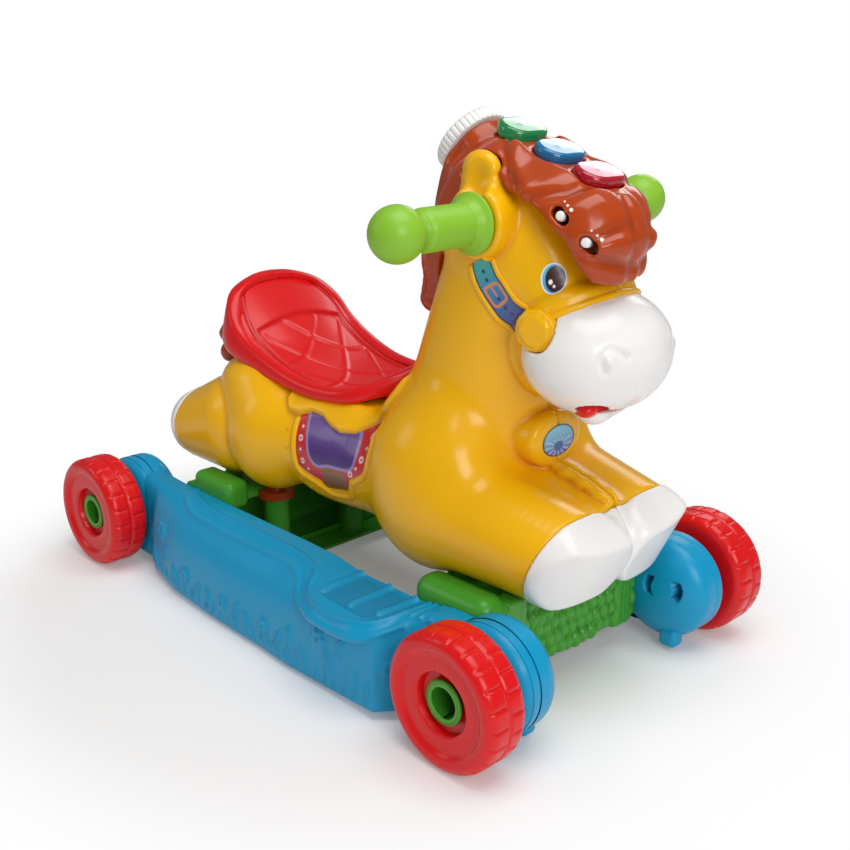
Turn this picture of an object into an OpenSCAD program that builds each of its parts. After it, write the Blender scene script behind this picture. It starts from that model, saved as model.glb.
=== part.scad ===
// Ride-on pony on a wheeled base, in millimetres.
// +X is forward, +Z is up, the floor is Z = 0 and Y = 0 is the middle plane.

/* [Chassis] */
// Distance between the front and rear axles
wheelbase = 512; // [490:1:540]
// Overall width over the wheels
overall_w = 366; // [356:1:390]
// Room from a rail's inner face out to the wheels
rail_room = 33; // [31:1:36]
// Height of the rear half of a rail
rail_h = 91; // [84:1:96]
// Height of the footrest
step_h = 84; // [78:1:90]
// Width of the rear half of a rail
rail_rear_w = 56; // [48:1:62]
// Width of a rail at the footrest
step_w = 71; // [62:1:76]
// Gap between the floor and the middle of a rail
rail_lift = 5; // [3:0.5:10]
// Radius of the drum at each end of a rail
drum_r = 46.5; // [42:0.5:49]
// Thickness of the drums
drum_t = 17; // [14:1:20]
// Wall of the chassis mouldings
rail_wall = 3; // [2.4:0.2:4]

/* [Cross beams] */
// Place of the front beam ahead of the middle
front_beam_x = 193; // [186:1:198]
// Length of the front beam along the pony
front_beam_l = 84; // [76:1:90]
// Place of the rear beam behind the middle
rear_beam_x = 146; // [140:1:152]
// Length of the rear beam along the pony
rear_beam_l = 68; // [60:1:74]
// Gap between the belly and the beams
beam_gap = 6; // [5:0.5:10]
// How far the front beam's ends stand above its middle
beam_end_rise = 10; // [6:1:12]
// Gap between the floor and the beams
beam_lift = 14; // [10:1:24]
// Radius of the mounting posts
post_r = 13; // [10:0.5:15]

/* [Wheels and axles] */
// Wheel radius
wheel_r = 56; // [52:0.5:60]
// Wheel width
wheel_w = 40; // [34:1:42]
// Wall of the hollow wheels
wheel_wall = 2.6; // [2:0.2:3.4]
// Radius of the fixed axle tube
axle_r = 15.5; // [12:0.5:16.5]
// Radius of the hole down the axle tube
axle_bore_r = 12.5; // [8:0.5:13]
// Radius of the axle's outer flange
flange_r = 18.2; // [17.5:0.1:21]
// Depth of the flange below the wheel's face
hub_depth = 9; // [6:0.5:12]

/* [Body] */
// Width of the torso
torso_w = 168; // [160:1:174]
// Height of the belly over the floor
belly_h = 100; // [98:1:106]
// Wall of the body shells
shell_wall = 3; // [2.4:0.2:4]
// Distance of the head's centre ahead of the middle
head_x = 165; // [158:1:172]
// Height of the head's centre
head_z = 385; // [375:1:395]
// Width of the head
head_w = 120; // [112:1:126]
// Width of the muzzle
muzzle_w = 124; // [118:1:134]
// How far the hooves stand out from the legs
hoof_proud = 0.8; // [0.4:0.1:2]
// Height of the middle of the seat
seat_h = 213; // [206:1:222]
// How far the saddle's back stands above the seat
cantle_rise = 85; // [74:1:96]
// Half width of the saddle
saddle_hw = 78; // [72:1:82]
// Radius of the saddle's rolled rim
rim_r = 6; // [5:0.5:8]

/* [Handlebar] */
// Reach of each grip from the middle plane
grip_reach = 168; // [158:1:176]
// Radius of a grip in the hand
grip_r = 16.5; // [14:0.5:19]
// Radius of a grip's flange at the head
grip_flange_r = 24; // [22:0.5:27]
// How far a grip's bulb stands out past the hand part
bulb_rise = 5; // [2:0.5:7]
// Radius of the steel tube through the head
tube_r = 9; // [7:0.5:10]

/* [Controls] */
// Distance between the push buttons
button_pitch = 41; // [38:0.5:44]
// Half the width of a button along the pony
button_r = 16; // [13:0.5:17]
// Straight length of a button across the pony
button_l = 12; // [8:1:16]
// Travel of a button
button_travel = 2.5; // [1.5:0.1:2.5]
// Radius of a button's stem
stem_r = 6; // [4:0.5:7]
// Radius of the dial
dial_r = 32; // [28:0.5:33]
// Thickness of the dial
dial_t = 13; // [10:1:16]
// Radius of the dial's pin
dial_pin_r = 6; // [4:0.5:8]
// Radius of a slide switch's knob
knob_r = 3.8; // [3:0.1:4.2]
// Travel of the volume switch each way
volume_travel = 4; // [2:0.5:4.5]
// Travel of the mode switch
mode_travel = 6; // [3:0.5:7]

/* [Fits] */
// Radial clearance of turning and sliding round fits
running_gap = 0.08; // [0.03:0.01:0.1]
// Gap between pieces that only lie against each other
seat_gap = 0.3; // [0.2:0.05:0.5]
// Gap round a moving piece in its opening
moving_gap = 0.6; // [0.4:0.1:1]
// Thickness of the printed labels
label_t = 0.6; // [0.4:0.1:1]

/* [Hidden] */
$fn = 64;
skin_fn = 20;
inner_fn = 12;
detail_fn = 16;
eps = 0.01;

yellow = "#f2b90f";
red = "#d8151b";
blue = "#1b9fcc";
leaf = "#3f9c2c";
lime = "#9ccb3b";
brown = "#8e3b16";
white = "#f4f3f1";
steel = "#b9bcc0";

axle_x = wheelbase / 2;
wheel_y = overall_w / 2 - wheel_w;
rail_y = wheel_y - rail_room;
rail_end_w = wheel_y - rail_y - 4;
rail_span = axle_x - wheel_r;
beam_h = belly_h - beam_gap;
beam_end_h = beam_h + beam_end_rise;

function lerp(a, b, t) = a + (b - a) * t;
// Radius of a many-sided hole whose flats clear a round of radius r
function bored(r) = r / cos(180 / detail_fn);

// Ellipsoids that the skin is drawn over: centre, then radii
head = [[head_x, 0, head_z], [68, head_w / 2, 54]];
function at_head(p, r) = [head[0] + p, r];
torso_y = torso_w / 2;
// Share of a height between the belly and the seat, out of 113
torso_s = (seat_h - belly_h) / 113;
function up(share) = belly_h + share * torso_s;
rump = [[-122, 0, up(76)], [72, torso_y - 2, 52 * torso_s]];
waist = [[-10, 0, up(53)], [62, torso_y, 53 * torso_s]];
chest = [[112, 0, up(70)], [82, torso_y + 2, 78 * torso_s]];
chest_join = [[112, 0, up(56)], [82, torso_y + 2, 64 * torso_s]];
haunch = [[-112, -(torso_y - 24), up(60)], [68, 44, 64 * torso_s]];
thigh = [[-150, -(torso_y - 25), up(52)], [52, 42, 52 * torso_s]];
hock = [[-208, -(torso_y - 22), up(37)], [46, 38, 38 * torso_s]];
shoulder = [[128, -(torso_y - 24), up(65)], [66, 46, 76 * torso_s]];
forearm = [[150, -(torso_y - 28), up(46)], [60, 46, 50 * torso_s]];
fore_end = [[256, -45, up(34)], [46, 45, 41 * torso_s]];
neck_low = [[126, 0, up(112)], [70, 64, 60 * torso_s]];
neck_top = at_head([-3, 0, -44], [61, 57, 60]);
nose = at_head([69, 0, -61], [50, head_w / 2 - 11, 45]);
ear_root = at_head([-4, -45, 24], [17, 11, 14]);
ear_tip = at_head([1, -50, 44], [14, 9, 13]);
badge_boss = [[188, 0, lerp(belly_h, head_z, 0.379)], [26, 32, 30]];
muzzle_back = at_head([83, 0, -88], [57, muzzle_w / 2, 52]);
muzzle_front = at_head([95, 0, -100], [46, muzzle_w / 2 - 8, 46]);
tongue_c = head[0] + [91, -8, -137];

mane_line = [
  at_head([-75, 0, -75], [26, 30, 17]),
  at_head([-65, 0, -35], [26, 33, 28]),
  at_head([-36, 0, 25], [28, 40, 34]),
  at_head([2, 0, 29], [44, 56, 36]),
  at_head([49, 0, 14], [46, 56, 36]),
  at_head([88, -8, -2], [30, 42, 34]),
  at_head([99, -9, -33], [17, 34, 19])
];
tail_line = [
  [[-176, 0, up(112)], [20, 14, 14]],
  [[-216, 0, up(120)], [22, 18, 20]],
  [[-241, 0, up(96)], [17, 18, 22]]
];

module blob(b, grow = 0) {
  translate(b[0]) scale(b[1] + [grow, grow, grow]) sphere(1, $fn = grow < 0 ? inner_fn : skin_fn);
}

module limb(a, b, grow = 0) {
  hull() {
    blob(a, grow);
    blob(b, grow);
  }
}

module chain(line, grow = 0) {
  for (i = [0 : len(line) - 2]) limb(line[i], line[i + 1], grow);
}

module on_side(side) {
  mirror([0, side > 0 ? 1 : 0, 0]) children();
}

module both_sides() {
  children();
  mirror([0, 1, 0]) children();
}

// A cylinder along Y from y0 to y1
module across(r, y0, y1) {
  translate([0, min(y0, y1), 0]) rotate([-90, 0, 0]) cylinder(r = r, h = abs(y1 - y0));
}

// Skin over a run of rings of like point counts, closed by a cap at each end
module loft(rings, folded = false) {
  m = len(rings[0]);
  last = len(rings) - 1;
  sides = [for (i = [0 : last - 1], j = [0 : m - 1])
    let (a = i * m + j, b = i * m + (j + 1) % m)
    each [[a, b, b + m], [a, b + m, a + m]]];
  flat_cap = [for (j = [1 : m - 2]) [0, j + 1, j]];
  fold_cap = [for (j = [0 : m / 2 - 2])
    each [[j, m - 2 - j, j + 1], [j, m - 1 - j, m - 2 - j]]];
  cap = folded ? fold_cap : flat_cap;
  far_cap = [for (f = cap) [for (v = [2, 1, 0]) f[v] + last * m]];
  polyhedron([for (r = rings) each r], concat(sides, cap, far_cap));
}

function reversed(list) = [for (i = [len(list) - 1 : -1 : 0]) list[i]];

// Rail stations along its length: x, width, top height, squareness of the shoulder
rail_stations = [
  [-axle_x + 20, rail_end_w, rail_h + 2, 0.6],
  [-rail_span, rail_end_w, rail_h + 1, 0.6],
  [-rail_span * 0.93, rail_end_w + 11, rail_h, 0.8],
  [-rail_span * 0.65, rail_rear_w - 4, rail_h - 1, 0.9],
  [-rail_span * 0.3, rail_rear_w, rail_h - 1, 0.9],
  [rail_span * 0.1, lerp(rail_rear_w, step_w, 0.13), rail_h - 1, 0.88],
  [rail_span * 0.3, lerp(rail_rear_w, step_w, 0.33), rail_h - 2, 0.8],
  [rail_span * 0.4, lerp(rail_rear_w, step_w, 0.67), step_h + 2, 0.55],
  [rail_span * 0.5, step_w, step_h, 0.4],
  [rail_span * 0.75, step_w + 1, step_h, 0.36],
  [rail_span * 0.84, step_w - 5, step_h, 0.42],
  [rail_span * 0.91, lerp(rail_end_w, step_w, 0.5), step_h + 2, 0.6],
  [rail_span * 0.96, rail_end_w + 9, rail_h - 2, 0.65],
  [rail_span, rail_end_w + 1, rail_h, 0.6],
  [axle_x - 20, rail_end_w, rail_h + 1, 0.6]
];
arc_steps = 8;
top_flat = 10;
toe_h = 8;
rail_rise = 8;

function rail_foot(x) = rail_lift + rail_rise * pow(x / axle_x, 2);

// Section of a rail from its upper inner edge over the shoulder to its lower inner edge, set in by t
function rail_section(s, t) =
  let (z0 = rail_foot(s[0]) + t, z1 = s[2] - t, w = s[1] - t, a = min(top_flat, w / 2))
  concat(
    [[0, z1]],
    [for (j = [0 : arc_steps])
      let (q = 90 * j / arc_steps)
      [lerp(a, w, pow(sin(q), s[3])), lerp(z0 + toe_h, z1, pow(cos(q), s[3]))]],
    [[w, z0], [0, z0]]
  );

// Right rail: a shell that is open towards the middle, cut out for the drums of its cover
module rail() {
  rings = [for (s = reversed(rail_stations))
    [for (p = concat(rail_section(s, 0), reversed(rail_section(s, rail_wall))))
      [s[0], -rail_y - p[0], p[1]]]];
  difference() {
    loft(rings, folded = true);
    for (x = [-axle_x, axle_x])
      translate([x, 0, wheel_r]) across(drum_r + seat_gap, -rail_y + 1, -wheel_y);
  }
}

// Right rail cover: the flat inner wall with the drums that carry the axles
cover_inset = rail_wall + seat_gap;
spacer_r = axle_r + 8;
drum_fillet = drum_t - 4;
beam_screw_r = 2;
beam_screw_l = 16;
beam_boss_l = 14;

module drum() {
  rotate([90, 0, 0]) rotate_extrude($fn = 96) difference() {
    union() {
      square([drum_r - drum_fillet, drum_t]);
      translate([0, drum_fillet]) square([drum_r, drum_t - drum_fillet]);
      translate([drum_r - drum_fillet, drum_fillet]) circle(drum_fillet);
    }
    translate([-drum_r, 0]) square([drum_r, drum_t]);
    translate([spacer_r - 1, 2 * rail_wall])
      square([drum_r - rail_wall - drum_fillet / 2 - spacer_r + 1, drum_t]);
  }
}

module rail_cover() {
  upper = [for (s = rail_stations) [s[0], s[2] - cover_inset]];
  lower = [for (s = reversed(rail_stations)) [s[0], rail_foot(s[0]) + cover_inset]];
  difference() {
    union() {
      translate([0, -rail_y, 0]) rotate([90, 0, 0]) linear_extrude(rail_wall) polygon(concat(upper, lower));
      for (x = [-axle_x, axle_x]) translate([x, -rail_y, wheel_r]) {
        drum();
        across(spacer_r, -drum_t, -(wheel_y - rail_y - seat_gap));
      }
      for (p = beam_screw_places()) translate([p[0], 0, p[1]]) across(6, -rail_y - 1, -rail_y - beam_boss_l);
    }
    for (x = [-axle_x, axle_x]) translate([x, 0, wheel_r]) {
      across(axle_r + running_gap, -rail_y - rail_wall, -wheel_y);
      for (a = [90, 270]) rotate([0, a, 0]) translate([axle_r - 6, -rail_y - rail_wall - 1, -5])
        cube([5, rail_wall + 2, 10]);
    }
    for (p = beam_screw_places()) translate([p[0], 0, p[1]])
      across(beam_screw_r + running_gap, -rail_y + 1, -rail_y - beam_boss_l - 1);
  }
}

// Cross beams: hollow mouldings between the rails, with an end plate screwed to each rail cover
beam_y = rail_y - seat_gap;
front_beam_foot = beam_lift + 6;
rear_shelf = 16;
front_post = [200, 50];
rear_post = [108, 50];
rear_peg = [165, 60];
collar_h = 8;
collar_r = post_r + 6;
collar_peg_r = post_r - 3;
rear_peg_r = post_r - 4;
collar_z = belly_h - 17;
socket_depth = 12;

function beam_screw_places() = [
  for (z = [40, 70]) each [[front_beam_x - 20, z], [-rear_beam_x - 10, z]]
];

module beam_profile(l, foot, top, round_r) {
  translate([-l / 2 + round_r, foot + round_r])
    offset(round_r) square([l - 2 * round_r, top - foot - 2 * round_r]);
}

module beam_solid(l, foot, top, round_r, y0, y1) {
  translate([0, y1, 0]) rotate([90, 0, 0]) linear_extrude(y1 - y0) beam_profile(l, foot, top, round_r);
}

module screw_holes() {
  for (p = beam_screw_places()) translate([p[0], 0, p[1]])
    across(beam_screw_r + running_gap, -beam_y - 1, beam_y + 1);
}

// Space under the front legs that the raised ends stay out of
leg_clear = 2;

module leg_room() {
  translate([-cut / 2, forearm[0][1], forearm[0][2]]) rotate([0, 90, 0])
    cylinder(r = forearm[1][2] + leg_clear, h = cut);
}

module front_cross_beam() {
  color(leaf) difference() {
    union() {
      translate([front_beam_x, 0, 0]) {
        beam_solid(front_beam_l, front_beam_foot, beam_h, 12, -beam_y, beam_y);
        difference() {
          for (y = [-beam_y, beam_y - 16]) beam_solid(front_beam_l, front_beam_foot, beam_end_h, 12, y, y + 16);
          both_sides() leg_room();
        }
      }
      for (y = [-front_post[1], front_post[1]]) translate([front_post[0], y, beam_h - 4])
        cylinder(r = post_r, h = belly_h + socket_depth - beam_h + 4);
    }
    translate([front_beam_x, 0, 0])
      beam_solid(front_beam_l - 2 * rail_wall, front_beam_foot - 20, beam_h - rail_wall, 8,
        -beam_y + rail_wall, beam_y - rail_wall);
    screw_holes();
  }
}

module rear_cross_beam() {
  inner_l = rear_beam_l - 2 * rail_wall;
  color(leaf) difference() {
    union() {
      translate([-rear_beam_x, 0, 0]) difference() {
        beam_solid(rear_beam_l, beam_lift, beam_h + 2, 10, -beam_y, beam_y);
        translate([rail_wall, 0, 0])
          beam_solid(inner_l, beam_lift + rail_wall, beam_h + 2 - rail_wall, 8,
            -beam_y + rail_wall, beam_y - rail_wall);
        translate([0, -beam_y + rail_wall, beam_lift + rear_shelf])
          cube([rear_beam_l, 2 * (beam_y - rail_wall), beam_h - beam_lift - rear_shelf - 8]);
      }
      translate([-rear_beam_x, -beam_y + rail_wall, beam_lift])
        cube([rear_beam_x - rear_post[0] + post_r + 8, 2 * (beam_y - rail_wall), rail_wall]);
      for (y = [-rear_post[1], rear_post[1]]) translate([-rear_post[0], y, beam_lift + 1])
        cylinder(r = post_r, h = collar_z - beam_lift - 1);
      for (y = [-rear_peg[1], rear_peg[1]]) translate([-rear_peg[0], y, beam_h])
        cylinder(r = rear_peg_r, h = belly_h + socket_depth - beam_h);
    }
    screw_holes();
    for (y = [-rear_post[1], rear_post[1]]) translate([-rear_post[0], y, collar_z]) {
      cylinder(r = collar_r + seat_gap, h = collar_h + seat_gap);
      cylinder(r = collar_peg_r + seat_gap, h = cut);
    }
  }
}

module beam_screws() {
  color(steel) both_sides() for (p = beam_screw_places()) translate([p[0], 0, p[1]]) {
    across(beam_screw_r, -beam_y + rail_wall, -beam_y + rail_wall - beam_screw_l);
    across(beam_screw_r * 2, -beam_y + rail_wall, -beam_y + rail_wall + 3);
  }
}

module post_collars() {
  color(brown) for (y = [-rear_post[1], rear_post[1]]) translate([-rear_post[0], y, collar_z]) {
    cylinder(r = collar_r, h = collar_h);
    cylinder(r = collar_peg_r, h = belly_h + socket_depth - collar_z);
  }
}

// Front right axle: a tube with an outer flange and two hooks behind the drum
hub_face = overall_w / 2 - hub_depth;
flange_t = 3;

module axle() {
  tube_end = rail_y + rail_wall + seat_gap;
  difference() {
    union() {
      across(axle_r, -tube_end, -hub_face);
      across(flange_r, -hub_face, -hub_face + flange_t);
      for (a = [90, 270]) rotate([0, a, 0]) translate([axle_r - 5.5, -tube_end - 1, -4])
        cube([4, tube_end - rail_y + 2, 8]);
    }
    across(axle_bore_r, -tube_end - 6, -hub_face - 1);
  }
}

module axle_at(side_x, side_y) {
  color(leaf) translate([side_x * axle_x, 0, wheel_r]) on_side(side_y) axle();
}

// Front right wheel: hollow, with a dished face and a hub recess for the flange
wheel_shoulder = 9;
recess_r = flange_r + 7;
hub_wall_r = axle_r + 5;
dish_depth = 4;
tread_band = 10;

module wheel_section(t) {
  outer = wheel_r - t;
  low = t;
  high = wheel_w - t;
  difference() {
    union() {
      translate([0, low + wheel_shoulder]) square([outer, high - low - 2 * wheel_shoulder]);
      translate([0, low]) square([outer - wheel_shoulder, high - low]);
      for (z = [low + wheel_shoulder, high - wheel_shoulder]) translate([outer - wheel_shoulder, z])
        circle(wheel_shoulder);
    }
    translate([0, wheel_w - hub_depth - flange_t - seat_gap - t]) square([recess_r + t, wheel_w]);
    translate([0, wheel_w - dish_depth - t]) square([wheel_r - tread_band - 6 + t, wheel_w]);
    translate([-wheel_r, -wheel_w]) square([wheel_r, 3 * wheel_w]);
  }
}

module wheel() {
  bore_r = axle_r + running_gap;
  difference() {
    translate([0, -wheel_y, 0]) rotate([90, 0, 0]) rotate_extrude($fn = 128) difference() {
      wheel_section(0);
      translate([-1, -1]) square([bore_r + 1, wheel_w + 2]);
      difference() {
        wheel_section(wheel_wall);
        square([hub_wall_r, wheel_w]);
      }
    }
    translate([(recess_r + wheel_r) / 2, 0, 0]) across(3, -wheel_y + 1, -wheel_y - wheel_wall - 2);
  }
}

module wheel_at(side_x, side_y) {
  color(red) translate([side_x * axle_x, 0, wheel_r]) on_side(side_y) wheel();
}

// Right half of the skin, with the pieces on the middle plane whole
module half_skin(grow = 0) {
  limb(rump, waist, grow);
  limb(waist, chest_join, grow);
  blob(chest, grow);
  blob(haunch, grow);
  limb(thigh, hock, grow);
  blob(shoulder, grow);
  limb(forearm, fore_end, grow);
  blob(badge_boss, grow);
  limb(neck_low, neck_top, grow);
  limb(head, nose, grow);
  limb(ear_root, ear_tip, grow);
}

// Skin of the head and neck alone, on both sides
module head_skin(grow = 0) {
  limb(neck_low, neck_top, grow);
  limb(head, nose, grow);
  both_sides() limb(ear_root, ear_tip, grow);
}

module muzzle_skin(grow = 0) {
  limb(muzzle_back, muzzle_front, grow);
}

// Space ahead of the line where a front leg turns into its hoof
front_hoof_line = [262, up(40)];
front_hoof_tilt = 20;
rear_hoof_x = -228;
cut = 400;

module front_hoof_space(gap = 0) {
  translate([front_hoof_line[0], 0, front_hoof_line[1]]) rotate([0, front_hoof_tilt, 0])
    translate([gap, -cut / 2, -cut / 7]) cube([cut / 3, cut, cut / 3.5]);
}

module rear_hoof_space(gap = 0) {
  translate([rear_hoof_x - gap - cut / 4, -cut / 2, 0]) cube([cut / 4, cut, cut / 1.8]);
}

// Raised yellow band round the muzzle, and the ring round a grip's flange
band_proud = 6;
band_reach = 10;
grip_axis = head[0] + [11, 0, 4];
collar_y = head_w / 2 + 1;

module noseband(gap = 0) {
  intersection() {
    limb(head, nose, band_proud + gap);
    muzzle_skin(band_reach + gap);
  }
}

module grip_ring(gap = 0) {
  translate([grip_axis[0], 0, grip_axis[2]]) hull() {
    across(grip_flange_r + 6 + gap, -head_w / 4, -collar_y + 3);
    across(grip_flange_r + 3 + gap, -head_w / 4, -collar_y - gap);
  }
}

// Screws that draw the two halves together, driven from the left
screw_places = [[-150, up(50)], [-60, up(84)], [75, up(55)], [165, up(165)],
  [head_x - 47, head_z - 33]];
screw_r = 1.8;
screw_head_r = 3.6;
screw_head_t = 2.4;
screw_seat = 8;
screw_tip = 16;
boss_r = 7;
well_r = screw_head_r + 1;

// Openings in the shells: the battery bay, the speaker grille and the button deck
bay = [[-42, 26], 34];
bay_rim = 8;
bay_top = belly_h + 17;
bay_floor = belly_h - 3;
speaker_x = 68;
speaker_r = 28;
speaker_seat = belly_h + 18;
grille_pitch = 8;
grille_w = 3;
grille_l = 34;

deck_c = head[0] + [39, 0, 59];
deck_tilt = 20.6;
deck_l = 50;
deck_w = 22;

module at_deck() {
  translate(deck_c) rotate([0, deck_tilt, 0]) children();
}

module bay_box(grow, z0, z1) {
  translate([bay[0][0] - grow, -bay[1] - grow, z0])
    cube([bay[0][1] - bay[0][0] + 2 * grow, 2 * (bay[1] + grow), z1 - z0]);
}

// Hole in the belly for a post or peg of radius r
module socket(p, r) {
  translate([p[0], p[1], 0]) cylinder(r = bored(r + seat_gap), h = belly_h + socket_depth + 1);
}

module shell_openings() {
  bay_box(0, 0, bay_top + 1);
  for (i = [-2 : 2]) translate([speaker_x + i * grille_pitch - grille_w / 2, -grille_l / 2, 0])
    cube([grille_w, grille_l, speaker_seat]);
  at_deck() translate([-deck_l - 2, -deck_w - 2, -cut / 8])
    cube([2 * deck_l + 4, 2 * deck_w + 4, cut / 4]);
  at_switch(0) translate([-switch_pitch, -pad_r, -2 * pad_r - switch_pad])
    cube([2 * switch_pitch, 2 * pad_r, cut / 8]);
  translate([grip_axis[0], 0, grip_axis[2]]) across(bored(tube_r + seat_gap), -overall_w, 1);
  socket([front_post[0], -front_post[1]], post_r);
  socket([-rear_post[0], -rear_post[1]], collar_peg_r);
  socket([-rear_peg[0], -rear_peg[1]], rear_peg_r);
}

module screw_posts(r, y0, y1) {
  for (p = screw_places) translate([p[0], 0, p[1]]) rotate([90, 0, 0])
    translate([0, 0, y0]) cylinder(r = r, h = y1 - y0);
}

// Half of the body, drawn as the right half; the left half has the screw wells
module half_shell(wells) {
  $fn = detail_fn;
  difference() {
    union() {
      difference() {
        union() {
          half_skin();
          noseband();
          grip_ring();
          bay_box(bay_rim, bay_floor, belly_h + 10);
        }
        half_skin(-shell_wall);
      }
      intersection() {
        half_skin(-1);
        union() {
          screw_posts(boss_r, 0, cut);
          bay_box(bay_rim, bay_floor, bay_top);
          translate([speaker_x, 0, 0]) difference() {
            cylinder(r = speaker_r, h = speaker_seat);
            cylinder(r = speaker_r - 4, h = speaker_seat + 1);
          }
        }
      }
    }
    translate([-cut, 0, -cut / 2]) cube([2 * cut, cut, 2 * cut]);
    muzzle_skin(seat_gap);
    front_hoof_space(-seat_gap);
    rear_hoof_space(-seat_gap);
    shell_openings();
    screw_posts(wells ? screw_r + seat_gap : screw_r + 0.1, -1, wells ? screw_seat + 1 : screw_tip + 1);
    if (wells) screw_posts(well_r, screw_seat, cut);
  }
}

module body_right_shell() {
  color(yellow) half_shell(false);
}

module body_left_shell() {
  color(yellow) mirror([0, 1, 0]) half_shell(true);
}

module body_screws() {
  color(steel) for (p = screw_places) translate([p[0], 0, p[1]]) {
    across(screw_r, -screw_tip, screw_seat);
    across(screw_head_r, screw_seat, screw_seat + screw_head_t);
  }
}

// Hooves: white caps that carry on the legs
module front_hoof(side) {
  color(white) on_side(side) difference() {
    intersection() {
      limb(forearm, fore_end, hoof_proud);
      front_hoof_space();
    }
    limb(forearm, fore_end, -shell_wall);
  }
}

module rear_hoof(side) {
  color(white) on_side(side) difference() {
    intersection() {
      limb(thigh, hock, hoof_proud);
      rear_hoof_space();
    }
    limb(thigh, hock, -shell_wall);
  }
}

// Muzzle: a white cap held in the front of the head, and the tongue in its mouth
muzzle_back_cut = 25;

module tongue_form(grow = 0) {
  hull() for (y = [-9, 9]) translate(tongue_c + [0, y, 0]) sphere(7 + grow, $fn = inner_fn);
}

module muzzle() {
  color(white) difference() {
    muzzle_skin();
    muzzle_skin(-shell_wall);
    translate(muzzle_back[0]) rotate([0, 38, 0]) translate([-cut - muzzle_back_cut, -cut / 2, -cut / 2])
      cube([cut, cut, cut]);
    tongue_form(seat_gap);
  }
}

module tongue() {
  color(red) tongue_form();
}

// Printed labels: thin layers that follow the skin inside an outline seen from the side
module skin_layer() {
  difference() {
    half_skin(label_t + seat_gap / 2);
    half_skin(seat_gap / 2);
  }
}

module on_skin() {
  difference() {
    intersection() {
      skin_layer();
      rotate([90, 0, 0]) linear_extrude(cut) children();
    }
    noseband(seat_gap);
    grip_ring(seat_gap);
  }
}

eye_c = [head_x + 70, head_z - 33];
eye_size = [11, 13];
strap_line = [[10, -20], [19, -37], [31, -52], [47, -64]];
strap_w = 18;
flap_c = [27, up(72)];
flap_size = [62, 38 * torso_s];
flap_tilt = 13;

module eye(side) {
  color(white) on_side(side) on_skin() translate(eye_c) scale(eye_size) circle(1, $fn = 32);
}

module strap_label(side) {
  color(blue) on_side(side) on_skin() translate([head_x, head_z])
    for (i = [0 : len(strap_line) - 2]) hull() for (j = [i, i + 1])
      translate(strap_line[j]) circle(strap_w / 2, $fn = 24);
}

module flap_label(side) {
  color("#6d3a8c") on_side(side) on_skin() intersection() {
    translate(flap_c) rotate(flap_tilt) {
      offset(8) square(flap_size, center = true);
      translate([-14, -flap_size[1] / 2 - 25]) square([28, 30]);
    }
    translate([-cut / 2, 0]) square([cut, skirt_foot - rim_r]);
  }
}

badge_r = 19;

module chest_badge() {
  color(blue) intersection() {
    skin_layer();
    translate(badge_boss[0] + [0, 0, 2]) rotate([0, 90, 0]) cylinder(r = badge_r, h = cut / 4);
  }
}

// Dial frame: its seat on the back of the crown, with the axis pointing up and back
dial_c = head[0] + [-49, 0, 53.5];
dial_tilt = -52;
dial_collar_r = dial_r - 2.5;
dial_seat_t = 5;

module at_dial() {
  translate(dial_c) rotate([0, dial_tilt, 0]) children();
}

// Switch frame: a place on the right of the forelock, with X along the slots
switch_c = head[0] + [91, -46, 6];
switch_turn = [76, 39, 11.5];
switch_pitch = 27;
switch_pad = 6;
switch_slot_r = knob_r + moving_gap;
switch_body = [14, 8, 6];
switch_drop = 3;
pad_r = 9;

module at_switch(i) {
  translate(switch_c) rotate(switch_turn) translate([i * switch_pitch / 2, 0, 0]) children();
}

module slot(r, x0, x1, z0, z1) {
  hull() for (x = [x0, x1]) translate([x, 0, z0]) cylinder(r = r, h = z1 - z0, $fn = inner_fn);
}

// Stadium with its long side across the pony
module stadium(r, z0, z1) {
  translate([-r, -button_l / 2, z0]) cube([2 * r, button_l, z1 - z0]);
  for (y = [-1, 1]) translate([0, y * button_l / 2, z0]) cylinder(r = r, h = z1 - z0);
}

// Deck heights, down from the top of the buttons
cap_h = 11;
guide_top = -18;
guide_t = 3;
guide_corner = 20;
stem_end = -25;
board_top = stem_end - button_travel - 0.5;
board_t = 1.6;
deck_screw_places = [for (x = [-0.5, 0.5], y = [-17, 17]) [x * button_pitch, y]];
deck_screw_r = 1.5;
deck_boss_r = 4;
standoff_r = 3.5;
mane_wall = 3;

module mane_skin(grow = 0) {
  chain(mane_line, grow);
  hull() {
    blob(mane_line[2], grow);
    at_dial() translate([0, 0, -4]) cylinder(r = dial_collar_r + grow, h = grow < 0 ? 1 : 4, $fn = detail_fn);
  }
}

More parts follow.
